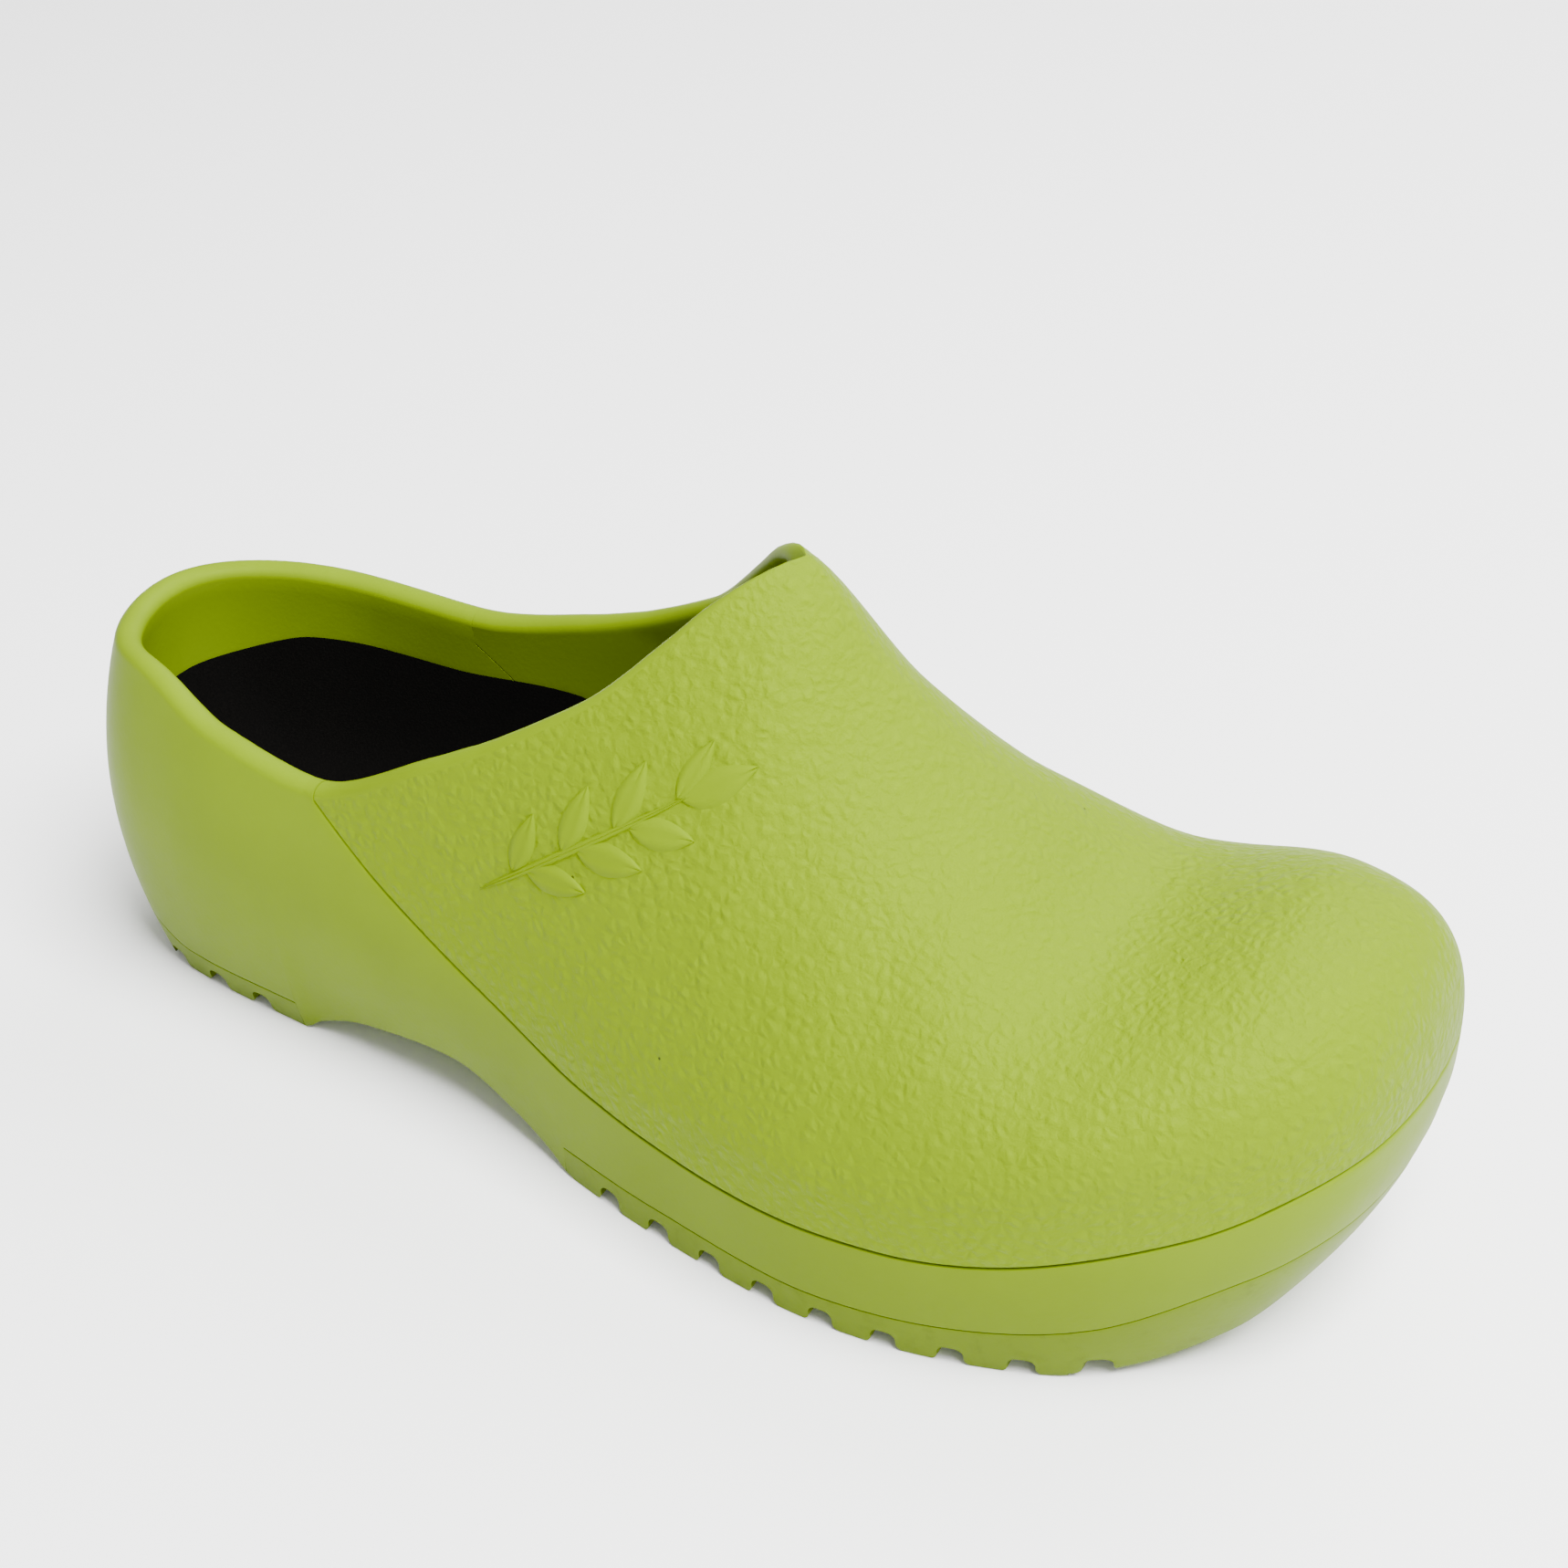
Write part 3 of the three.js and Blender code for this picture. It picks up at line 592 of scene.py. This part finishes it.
def add_tread(last, grooves, start, end, first, count, name, node, columns=190):
    """Tread: a band that wraps the edge of the sole, with rounded grooves right across it."""
    s = last.s
    whole = ring_of(last, 0, s.length, columns)
    half = len(whole.x) // 2
    inside_x = whole.x[: half + 1]
    inside_x = inside_x[(inside_x > start + 0.4) & (inside_x < end - 0.4)]
    x_up = np.concatenate([[max(start, 0)], inside_x[inside_x > 0], [min(end, s.length)]])
    if end >= s.length:
        xs = np.concatenate([x_up, x_up[::-1][1:]])
        ring = Ring(last, xs, np.arange(len(xs)) < len(x_up))
    else:
        xs = np.concatenate([x_up[::-1], x_up[1:]])
        ring = Ring(last, xs, np.arange(len(xs)) >= len(x_up))
    line, under = last.tread_line(ring.x), last.underside(ring.x)
    roof = np.minimum(under + s.tread, line)
    core_r = ring.inside_radius(line) + s.sole_skin
    edge_r = ring.reach * ring.share_at(line)
    core_r = np.minimum(core_r, edge_r - 0.5)
    q_line = ring.crossing(ring.outside, lambda x, y: line)
    outer = rows_on(ring, ring.outside, np.zeros(len(xs)), q_line, 26)
    foot_r = ring.reach * ring.share_at(under)
    under_rows = [ring.place(foot_r * t, last.underside(ring.inward(t)))
                  for t in np.append(np.linspace(0, 0.96, 16), 0.985)]
    ground = corner(outer[0], under_rows[-1], outer[2], GROUND_ROUND)
    lip = corner(outer[-1], outer[-3], ring.place(core_r, line), s.seam_round)
    top = [ring.place(core_r, line), ring.place(core_r, roof)]
    for t in (0.66, 0.33, 0):
        height = last.underside(ring.inward(t)) + s.tread
        top.append(ring.place(core_r * t, np.minimum(height, roof)))
    rows = under_rows + ground + outer[2:-2] + lip + top
    points, faces, _ = stitch(rows, False, centre_rows=(0, len(rows) - 1))
    tread = piece(name, points + last.shift, faces, "shell", node)
    cutter = groove_cutter(last, grooves, first, count)
    select(tread)
    cut = tread.modifiers.new("grooves", "BOOLEAN")
    cut.operation, cut.object, cut.solver = "DIFFERENCE", cutter, "EXACT"
    bpy.ops.object.modifier_apply(modifier="grooves")
    bpy.data.objects.remove(cutter, do_unlink=True)
    bpy.ops.object.shade_smooth_by_angle(angle=TREAD_SMOOTH_ANGLE)
    return tread


def groove_cutter(last, grooves, first, count):
    """Bars with a round root and a flared mouth, one per groove, standing in the ground."""
    half, depth, flare = grooves.width / 2, grooves.depth, grooves.mouth
    profile = [(half + flare + 0.6, -4.0), (half + flare + 0.6, -0.02)]
    for t in np.linspace(0, pi / 2, 6)[1:]:
        profile.append((half + flare * (1 - sin(t)), flare * (1 - cos(t))))
    root = half * 0.75
    for t in np.linspace(0, pi / 2, 7):
        profile.append((half - root + root * cos(t), depth - root + root * sin(t)))
    profile += [(-x, z) for x, z in reversed(profile)]
    points, faces = [], []
    n = len(profile)
    for k in range(count):
        x = first + k * grooves.pitch
        rise = float(last.underside(x))
        near = len(points)
        far = near + n
        for y in (-90, 90):
            points += [(x + dx, y, z + rise) for dx, z in profile]
        for i in range(n):
            following = (i + 1) % n
            faces.append((near + i, near + following, far + following, far + i))
        faces.append(tuple(near + i for i in reversed(range(n))))
        faces.append(tuple(far + i for i in range(n)))
    mesh = bpy.data.meshes.new("groove_cutter")
    shift = np.array(last.shift) * [1, 0, 1]
    mesh.from_pydata(((np.array(points) + shift) * MM).tolist(), [], faces)
    cutter = bpy.data.objects.new("groove_cutter", mesh)
    bpy.context.scene.collection.objects.link(cutter)
    select(cutter)
    bpy.ops.object.mode_set(mode="EDIT")
    bpy.ops.mesh.select_all(action="SELECT")
    bpy.ops.mesh.normals_make_consistent(inside=False)
    bpy.ops.object.mode_set(mode="OBJECT")
    return cutter


# Leaves of the sprig: distance from the heel, height, turn in degrees, length.
LEAVES = [
    (116, 65, 76, 12), (119, 66, 2, 13), (126, 72, 76, 13), (129, 73, 4, 14),
    (136, 79, 74, 13), (139, 80, 6, 13), (147, 87, 68, 11), (148, 87, 32, 14),
]
STEM = (109, 59, 36, 52)


def on_side(last, x, z, lift):
    """Points on the lateral outer surface at distances from the heel and heights, lifted off it."""
    lateral = np.full(len(x), True)

    def at(x, height):
        ring = Ring(last, x, lateral)
        return ring.place(ring.reach * ring.share_at(height), height)

    here = at(x, z)
    outward = unit(np.cross(at(x + 0.5, z) - here, at(x, z + 0.5) - here))
    outward[outward[:, 1] > 0] *= -1
    return here + outward * lift[:, None]


def leaf_grid(x, z, turn, length, width, high, stations=17, across=9):
    """Low cushion in the shape of a leaf, as positions on the side and lifts off it."""
    u, v = np.meshgrid(np.linspace(0, 1, stations), np.linspace(-1, 1, across), indexing="ij")
    half = width / 2 * np.clip(np.sin(pi * u**0.8), 0, 1) ** 0.8 + 0.05
    rib = 0.25 * np.exp(-((v / 0.12) ** 2))
    lift = high * (np.clip(1 - v**4, 0, 1) * np.sin(pi * np.clip(u, 0.02, 0.98)) ** 0.3 - rib)
    c, d = cos(radians(turn)), sin(radians(turn))
    along, side = u * length, v * half
    px, pz = x + along * c - side * d, z + along * d + side * c
    return px.ravel(), pz.ravel(), lift.ravel()


def add_sprig(last, across=9):
    """Embossed sprig of leaves on the lateral side of the upper."""
    points, faces = [], []
    shapes = [leaf_grid(x, z, turn, length, 0.42 * length, 0.75) for x, z, turn, length in LEAVES]
    x, z, turn, length = STEM
    shapes.append(leaf_grid(x, z, turn, length, 1.6, 0.6, 33))
    for x, z, lift in shapes:
        stations = len(x) // across
        start = sum(map(len, points))
        points.append(on_side(last, x, z, lift - 0.02))
        points.append(on_side(last, x, z, np.full(len(x), -0.6)))
        under = start + len(x)
        border = list(range(across))
        border += [i * across + across - 1 for i in range(1, stations)]
        border += [(stations - 1) * across + j for j in reversed(range(across - 1))]
        border += [i * across for i in reversed(range(1, stations - 1))]
        for i in range(stations - 1):
            for j in range(across - 1):
                a = i * across + j
                quad = (a, a + 1, a + across + 1, a + across)
                faces.append(tuple(start + k for k in quad))
                faces.append(tuple(under + k for k in reversed(quad)))
        for k, here in enumerate(border):
            there = border[(k + 1) % len(border)]
            faces.append((start + here, start + there, under + there, under + here))
    placed = np.concatenate(points) + last.shift
    return piece("leaf_sprig", placed, faces, "shell", None)


class FootbedForm:
    """Walking surface and floor side of the loose footbed, shared by all its layers."""

    def __init__(self, last, f):
        self.last, self.f = last, f
        s = last.s

        def at(fraction):
            return fraction * s.length

        self.medial_rim = through([
            (0, 0.96 * f.cup), (at(0.09), 1.03 * f.cup), (at(0.22), 0.96 * f.arch),
            (at(0.33), f.arch), (at(0.44), 0.78 * f.arch), (at(0.6), 1.25 * f.toe),
            (at(0.75), f.toe), (at(0.88), f.toe), (s.length, 1.3 * f.toe),
        ])
        self.lateral_rim = through([
            (0, 0.96 * f.cup), (at(0.09), f.cup), (at(0.22), f.lateral),
            (at(0.4), 0.85 * f.lateral), (at(0.6), 1.15 * f.toe), (at(0.75), f.toe),
            (at(0.88), f.toe), (s.length, 1.3 * f.toe),
        ])
        self.middle = through([
            (at(0.05), f.heel), (at(0.2), f.heel), (at(0.36), f.heel + 1), (at(0.6), f.ball),
            (at(0.85), f.ball), (at(0.93), f.ball + 0.27 * s.toe_spring),
            (s.length, f.ball + 0.7 * s.toe_spring),
        ])
        self.ring = ring_of(last, 0, s.length, 130)
        x = self.ring.x
        self.rim = np.where(self.ring.medial, self.medial_rim(x), self.lateral_rim(x))
        self.textile_top = f.cover + f.gap
        self.core_top = self.textile_top + f.textile + f.gap
        self.core_bottom = f.floor_gap + f.base + f.gap
        self.rim_radius = np.minimum(
            self.radius(self.rim), self.radius(self.rim - self.core_top))

    def radius(self, z):
        """Radius of the footbed's side at a height."""
        return self.ring.inside_radius(z) - self.f.clearance

    def cup(self, share, lowered):
        """Points of the cupped walking surface at a share of its radius, lowered by a depth."""
        ring = self.ring
        radius = share * self.rim_radius
        low = self.middle(ring.cx + ring.ox * radius)
        return ring.place(radius, low + (self.rim - low) * share**self.f.sharpness - lowered)

    def flat(self, share, raised):
        """Points above the floor at a share of its radius, raised by a height."""
        ring = self.ring
        radius = share * self.radius(self.last.floor(ring.x) + raised)
        return ring.place(radius, self.last.floor(ring.cx + ring.ox * radius) + raised)

    def wrap(self, rows, name, slot, node):
        """Closed layer from rows that start and end in the middle of the footbed."""
        points, faces, _ = stitch(rows, True, centre_rows=(0, len(rows) - 1))
        return piece(name, points + self.last.shift, faces, "footbed", node)


def add_footbed_layer(form, top, bottom, name, slot, node, lip=0.0):
    """Layer of the footbed between two depths below the walking surface, with a rounded rim."""
    shares = np.append(np.linspace(0, 0.96, 28), [0.985, 1])
    low = [form.cup(t, bottom) for t in shares]
    high = [form.cup(t, top) for t in shares[::-1]]
    edge = corner(low[-1], low[-2], high[0], lip) + corner(high[0], low[-1], high[1], lip)
    return form.wrap(low[:-1] + edge + high[1:], name, slot, node)


def add_footbed_core(form):
    """Cork core: flat below, cupped above, following the shell wall at its side."""
    shares = np.append(np.linspace(0, 0.96, 22), [1])
    start = form.last.floor(form.ring.x) + form.core_bottom
    end = form.rim - form.core_top
    low = [form.flat(t, form.core_bottom) for t in shares]
    side = []
    for t in np.linspace(0, 1, 9)[1:-1]:
        z = start + (end - start) * t
        side.append(form.ring.place(form.radius(z), z))
    high = [form.cup(t, form.core_top) for t in shares[::-1]]
    return form.wrap(low + side + high, "core_fine", "cork", "footbed_core")


def add_footbed_base(form):
    """Jute layer under the cork."""
    f = form.f
    shares = np.append(np.linspace(0, 0.96, 22), [1])
    low = [form.flat(t, f.floor_gap) for t in shares]
    high = [form.flat(t, f.floor_gap + f.base) for t in shares[::-1]]
    return form.wrap(low + high, "base_fine", "jute", "footbed_base")


# ---------------------------------------------------------------- finishes
class Socket:
    """A node output that can be used in arithmetic."""

    def __init__(self, tree, output):
        self.tree, self.output = tree, output

    def maths(self, operation, *values):
        """One arithmetic step."""
        node = self.tree.nodes.new("ShaderNodeMath")
        node.operation = operation
        for index, value in enumerate(values):
            feed(self.tree, node.inputs[index], value)
        return Socket(self.tree, node.outputs[0])

    def __add__(self, other):
        return self.maths("ADD", self, other)

    __radd__ = __add__

    def __sub__(self, other):
        return self.maths("SUBTRACT", self, other)

    def __rsub__(self, other):
        return self.maths("SUBTRACT", other, self)

    def __mul__(self, other):
        return self.maths("MULTIPLY", self, other)

    __rmul__ = __mul__

    def __truediv__(self, other):
        return self.maths("DIVIDE", self, other)

    def __rtruediv__(self, other):
        return self.maths("DIVIDE", other, self)

    def __pow__(self, other):
        return self.maths("POWER", self, other)

    def node(self, kind, output=0, settings=None, **inputs):
        """Any other node of the same material, fed by input names."""
        made = self.tree.nodes.new(kind)
        for name, value in (settings or {}).items():
            setattr(made, name, value)
        for name, value in inputs.items():
            feed(self.tree, made.inputs[name.replace("_", " ")], value)
        return Socket(self.tree, made.outputs[output])

    def step(self, low, high):
        """Smooth change from 0 to 1 between two values."""
        return self.node("ShaderNodeMapRange", settings={"interpolation_type": "SMOOTHSTEP"},
                         Value=self, From_Min=low, From_Max=high)


def feed(tree, socket, value):
    """Link an input to a node output, or set it to a plain value."""
    if isinstance(value, Socket):
        tree.links.new(value.output, socket)
    else:
        socket.default_value = value


def mix(factor, first, second):
    """Colour between two colours."""
    tree = factor.tree
    made = tree.nodes.new("ShaderNodeMix")
    made.data_type = "RGBA"
    feed(tree, made.inputs["Factor"], factor)
    for name, value in (("A", first), ("B", second)):
        socket = next(i for i in made.inputs if i.name == name and i.type == "RGBA")
        feed(tree, socket, value if isinstance(value, Socket) else (*value, 1.0))
    return Socket(tree, next(o for o in made.outputs if o.type == "RGBA"))


def shade(base, factor):
    """A lighter or darker shade of a colour."""
    return tuple(min(c * factor, 1.0) for c in base)


def new_finish(name):
    """Empty material: its principled shader and its object coordinates."""
    material = bpy.data.materials.new(name)
    material.use_nodes = True
    tree = material.node_tree
    shader = tree.nodes["Principled BSDF"]
    coordinates = Socket(tree, tree.nodes.new("ShaderNodeTexCoord").outputs["Object"])
    return material, shader, coordinates


def coat(shader, base, roughness, normal=None):
    """Give a principled shader its colour, roughness and relief."""
    tree = shader.id_data
    feed(tree, shader.inputs["Base Color"], base)
    feed(tree, shader.inputs["Roughness"], roughness)
    if normal is not None:
        feed(tree, shader.inputs["Normal"], normal)


def noise(at, scale, detail=3.0, roughness=0.5, kind="Factor"):
    """Noise texture, as a value or as a colour."""
    return at.node("ShaderNodeTexNoise", 0 if kind == "Factor" else 1,
                   Vector=at, Scale=scale, Detail=detail, Roughness=roughness)


def cells(at, scale, feature="F1", **more):
    """Distance within a pattern of cells."""
    return at.node("ShaderNodeTexVoronoi", "Distance", settings={"feature": feature},
                   Vector=at, Scale=scale, **more)


def bump(height, distance, strength=1.0):
    """Relief from a height."""
    return height.node("ShaderNodeBump", Height=height, Distance=distance, Strength=strength)


def stirred(at, scale, amount):
    """Coordinates pushed about by noise, so that cells are irregular."""
    push = noise(at, scale, 2.0, kind="Color")
    scaled = at.node("ShaderNodeVectorMath", settings={"operation": "SCALE"},
                     Vector=push, Scale=amount)
    return add_vectors(at, scaled)


def add_vectors(first, second):
    """Sum of two vectors."""
    made = first.tree.nodes.new("ShaderNodeVectorMath")
    made.operation = "ADD"
    feed(first.tree, made.inputs[0], first)
    feed(first.tree, made.inputs[1], second)
    return Socket(first.tree, made.outputs[0])


SPECK = (0.02, 0.025, 0.006)


def specks(at, spacing, radius):
    """Sparse tiny dark specks moulded into the surface."""
    spots = cells(at, 1 / spacing)
    rare = noise(at, 0.35 / spacing, 1.0).step(0.56, 0.60)
    return (1.0 - spots.step(radius / spacing, 1.6 * radius / spacing)) * rare


def set_lime(shader, base, roughness, normal):
    """Coat of lime foam: a low sheen with the tint of the foam."""
    coat(shader, base, roughness, normal)
    shader.inputs["IOR"].default_value = 1.45
    shader.inputs["Specular IOR Level"].default_value = 0.08
    shader.inputs["Specular Tint"].default_value = (0.8, 1.0, 0.25, 1.0)


def grained_lime(finish):
    """Lime foam with a leather grain: plump irregular cells between fine creases, with painted
    shade in the creases.
    """
    material, shader, at = new_finish("grained lime foam")
    loose = stirred(at, 160.0, 0.0022)
    creases = cells(loose, 420.0, "DISTANCE_TO_EDGE").step(0.0, 0.45)
    plump = 1.0 - cells(loose, 420.0, "SMOOTH_F1", Smoothness=0.7)
    coarse = noise(stirred(at, 45.0, 0.006), 115.0, 3.0, 0.6)
    wrinkles = noise(stirred(at, 120.0, 0.004), 330.0, 4.0, 0.6)
    fine = noise(at, 2600.0, 2.0)
    height = creases * 0.22 + plump * 0.3 + coarse * 0.6 + wrinkles * 0.75 + fine * 0.05
    patches = noise(at, 26.0, 2.0)
    light, deep_and_shade = tuple(finish.lime), tuple(finish.lime_deep_and_shade)
    # Painted shade: the fine creases of the grain are painted towards the deep lime.
    base = mix(creases * 0.15 + 0.85, deep_and_shade, light)
    base = mix(patches.step(0.3, 0.8) * 0.16, base, shade(light, 0.9))
    base = mix(specks(at, 0.012, 0.00022), base, SPECK)
    rough = 0.5 - plump * 0.08 + patches * 0.08
    set_lime(shader, base, rough, bump(height, 0.0007, 1.0))
    return material


def smooth_lime(finish, name="smooth lime foam", darker=1.0, grime=0.0):
    """Lime foam skin as it leaves a polished mould, with faint orange peel, handling wear and
    painted shade that darkens it towards the floor.
    """
    material, shader, at = new_finish(name)
    peel = noise(at, 900.0, 2.0)
    drift = noise(at, 30.0, 3.0)
    scuffs = noise(stirred(at, 60.0, 0.01), 210.0, 4.0, 0.7)
    light, deep_and_shade = shade(finish.lime, darker), shade(finish.lime_deep_and_shade, darker)
    base = mix(drift.step(0.35, 0.75) * 0.25, light, deep_and_shade)
    if grime:
        base = mix(scuffs.step(0.5, 0.78) * grime, base, shade(deep_and_shade, 0.45))
    base = mix(specks(at, 0.014, 0.00025), base, SPECK)
    # Painted shade: the lime is darker towards the bottom, most at the floor and gone 6 cm above
    # it.
    height = at.node("ShaderNodeSeparateXYZ", 2, Vector=at)
    base = mix((1.0 - height.step(0.0, 0.06)) * 0.45, base, deep_and_shade)
    rough = 0.36 + drift * 0.08 + scuffs * 0.1
    set_lime(shader, base, rough, bump(peel * 0.4 + drift * 0.6, 0.00012, 0.6))
    return material


def nap(finish):
    """Black microfibre: a short uneven nap that catches light at its edges."""
    material, shader, at = new_finish("black microfibre")
    fuzz = noise(at, 2400.0, 4.0, 0.7)
    brushed = noise(stirred(at, 30.0, 0.01), 60.0, 3.0)
    black = tuple(finish.microfibre)
    lit = tuple(c * 4 + 0.0006 for c in black)
    base = mix(fuzz.step(0.35, 0.8) * (0.35 + brushed * 0.5), black, lit)
    coat(shader, base, 0.82 + brushed * 0.12, bump(fuzz + brushed * 0.8, 0.00025, 0.8))
    shader.inputs["Specular IOR Level"].default_value = 0.04
    return material


def woven(finish):
    """Coarse jute: crossing threads with loose fibres and uneven dye."""
    material, shader, at = new_finish("coarse jute")
    loose = stirred(at, 220.0, 0.0006)
    across, along = (
        at.node("ShaderNodeTexWave", 1, settings={"bands_direction": direction},
                Vector=loose, Scale=160.0, Distortion=1.2, Detail=2.0)
        for direction in ("X", "Y")
    )
    thread = across.maths("MAXIMUM", across, along)
    dye = noise(at, 150.0, 4.0)
    jute = tuple(finish.jute)
    base = mix(thread * 0.7 + dye * 0.3, shade(jute, 0.35), jute)
    coat(shader, base, 0.85 + dye * 0.1, bump(thread + dye * 0.4, 0.0004, 0.9))
    return material


def granules(finish):
    """Pressed cork: granules of several browns with dark joints and pits."""
    material, shader, at = new_finish("pressed cork")
    loose = stirred(at, 300.0, 0.0012)
    grain = at.node("ShaderNodeTexVoronoi", "Color", Vector=loose, Scale=420.0)
    tone = grain.node("ShaderNodeSeparateColor", 0, Color=grain)
    joints = cells(loose, 420.0, "DISTANCE_TO_EDGE").step(0.0, 0.12)
    cork = tuple(finish.cork)
    base = mix(tone, shade(cork, 0.6), shade(cork, 1.7))
    base = mix(joints, shade(cork, 0.3), base)
    coat(shader, base, 0.8 + tone * 0.12, bump(joints + tone * 0.3, 0.0003, 0.8))
    return material


def dress(obj, *materials):
    """Give a piece its finish, and its second finish if it has one."""
    kept = [polygon.material_index for polygon in obj.data.polygons]
    obj.data.materials.clear()
    for material in materials:
        obj.data.materials.append(material)
    obj.data.polygons.foreach_set("material_index", kept)


# ---------------------------------------------------------------- stage
def add_stage(floor_colour):
    """Pale floor and soft light from above and the left."""
    bpy.ops.mesh.primitive_plane_add(size=6, location=(0, 0, 0))
    floor = bpy.context.object
    floor.name = "studio_floor"
    material, shader, _ = new_finish("studio floor")
    coat(shader, (*floor_colour, 1.0), 0.7)
    dress(floor, material)
    for name, place, wide, power in (
        ("key_light", (0.6, -0.25, 1.45), 0.9, 98.0),
        ("fill_light", (1.2, -0.9, 0.8), 1.2, 7.0),
        ("back_light", (0.2, 1.1, 1.1), 1.2, 26.0),
    ):
        bpy.ops.object.light_add(type="AREA", location=place)
        light = bpy.context.object
        light.name = name
        light.data.size, light.data.energy = wide, power
        light.rotation_euler = (Vector(place)).to_track_quat("Z", "Y").to_euler()
    world = bpy.data.worlds.new("studio")
    world.use_nodes = True
    background = world.node_tree.nodes["Background"]
    background.inputs["Color"].default_value = (1.0, 1.0, 1.0, 1.0)
    background.inputs["Strength"].default_value = 0.6
    bpy.context.scene.world = world


def add_camera(azimuth, elevation, roll, distance, lens, target):
    """Camera that looks at a target from an azimuth and an elevation."""
    az, el, turn = radians(azimuth), radians(elevation), radians(roll)
    back = Vector((sin(az) * cos(el), -cos(az) * cos(el), sin(el)))
    right = Vector((cos(az), sin(az), 0))
    up = back.cross(right)
    x_axis = right * cos(turn) + up * sin(turn)
    y_axis = up * cos(turn) - right * sin(turn)
    camera = bpy.data.objects.new("camera", bpy.data.cameras.new("camera"))
    bpy.context.scene.collection.objects.link(camera)
    camera.data.lens, camera.data.sensor_width = lens, 36
    turned = Matrix((x_axis, y_axis, back)).transposed().to_4x4()
    camera.matrix_world = Matrix.Translation(Vector(target) + back * distance) @ turned
    bpy.context.scene.camera = camera


# ---------------------------------------------------------------- add-on
class CLOG_OT_upper(bpy.types.Operator):
    """Model the grained upper with its pointed collar peak."""

    bl_idname = "clog.upper"
    bl_label = "Upper"

    def execute(self, context):
        scene = context.scene
        upper = add_upper(Last(scene.clog_shape))
        lining = smooth_lime(scene.clog_finish, "lining lime foam")
        dress(upper, grained_lime(scene.clog_finish), lining)
        dress(add_sprig(Last(scene.clog_shape)), lining)
        return {"FINISHED"}


class CLOG_OT_sole(bpy.types.Operator):
    """Model the smooth sole unit with heel counter and floor."""

    bl_idname = "clog.sole"
    bl_label = "Sole unit"

    def execute(self, context):
        scene = context.scene
        sole = add_sole(Last(scene.clog_shape))
        dress(sole, smooth_lime(scene.clog_finish))
        return {"FINISHED"}


class CLOG_OT_treads(bpy.types.Operator):
    """Model the ball tread and the heel tread with their grooves."""

    bl_idname = "clog.treads"
    bl_label = "Treads"

    def execute(self, context):
        scene = context.scene
        shape, grooves = scene.clog_shape, scene.clog_tread
        last = Last(shape)
        finish = smooth_lime(scene.clog_finish, "tread lime foam", 0.88, 0.35)
        ball = add_tread(last, grooves, shape.ball_tread_start, shape.length,
                         grooves.ball_first, grooves.ball_count, "ball_tread_fine", "ball_tread")
        first = grooves.heel_last - (grooves.heel_count - 1) * grooves.pitch
        heel = add_tread(last, grooves, 0, shape.heel_tread_end,
                         first, grooves.heel_count, "heel_tread_fine", "heel_tread")
        for tread in (ball, heel):
            dress(tread, finish)
        return {"FINISHED"}


class CLOG_OT_footbed(bpy.types.Operator):
    """Model the loose footbed: microfibre cover, jute, cork and jute."""

    bl_idname = "clog.footbed"
    bl_label = "Footbed"

    def execute(self, context):
        scene = context.scene
        f = scene.clog_footbed
        form = FootbedForm(Last(scene.clog_shape), f)
        cover = add_footbed_layer(
            form, 0, f.cover, "cover_fine", "microfibre", "footbed_cover", 0.5)
        dress(cover, nap(scene.clog_finish))
        under = form.textile_top
        textile = add_footbed_layer(
            form, under, under + f.textile, "textile_fine", "jute", "footbed_textile", 0.2)
        jute = woven(scene.clog_finish)
        dress(textile, jute)
        dress(add_footbed_core(form), granules(scene.clog_finish))
        dress(add_footbed_base(form), jute)
        return {"FINISHED"}


class CLOG_OT_stage(bpy.types.Operator):
    """Set up floor, light and camera."""

    bl_idname = "clog.stage"
    bl_label = "Stage"

    def execute(self, context):
        add_stage(tuple(context.scene.clog_finish.floor))
        add_camera(26.87, 33.87, 0.93, 0.5291, 62.84, (0.0051, 0.0197, 0.0624))
        return {"FINISHED"}


class CLOG_PT_panel(bpy.types.Panel):
    """Sizes, colours and steps of the clog."""

    bl_label = "Garden clog"
    bl_idname = "CLOG_PT_panel"
    bl_space_type = "VIEW_3D"
    bl_region_type = "UI"
    bl_category = "Clog"

    def draw(self, context):
        layout = self.layout
        for name in ("clog_shape", "clog_tread", "clog_footbed", "clog_finish"):
            group = getattr(context.scene, name)
            box = layout.box()
            box.label(text=name.replace("_", " ").capitalize())
            for key in group.bl_rna.properties.keys():
                if key not in ("rna_type", "name"):
                    box.prop(group, key)
        for operator in OPERATORS:
            layout.operator(operator.bl_idname)


OPERATORS = (CLOG_OT_upper, CLOG_OT_sole, CLOG_OT_treads, CLOG_OT_footbed, CLOG_OT_stage)
GROUPS = {
    "clog_shape": ClogShape, "clog_tread": ClogTread,
    "clog_footbed": ClogFootbed, "clog_finish": ClogFinish,
}


def register():
    for made in (*GROUPS.values(), *OPERATORS, CLOG_PT_panel):
        bpy.utils.register_class(made)
    for name, group in GROUPS.items():
        setattr(bpy.types.Scene, name, PointerProperty(type=group))


def unregister():
    for name in GROUPS:
        delattr(bpy.types.Scene, name)
    for made in (CLOG_PT_panel, *reversed(OPERATORS), *reversed(GROUPS.values())):
        bpy.utils.unregister_class(made)


def main():
    """Model the whole clog, step by step."""
    register()
    bpy.ops.clog.upper()
    bpy.ops.clog.sole()
    bpy.ops.clog.treads()
    bpy.ops.clog.footbed()
    bpy.ops.clog.stage()


if __name__ == "__main__":
    main()
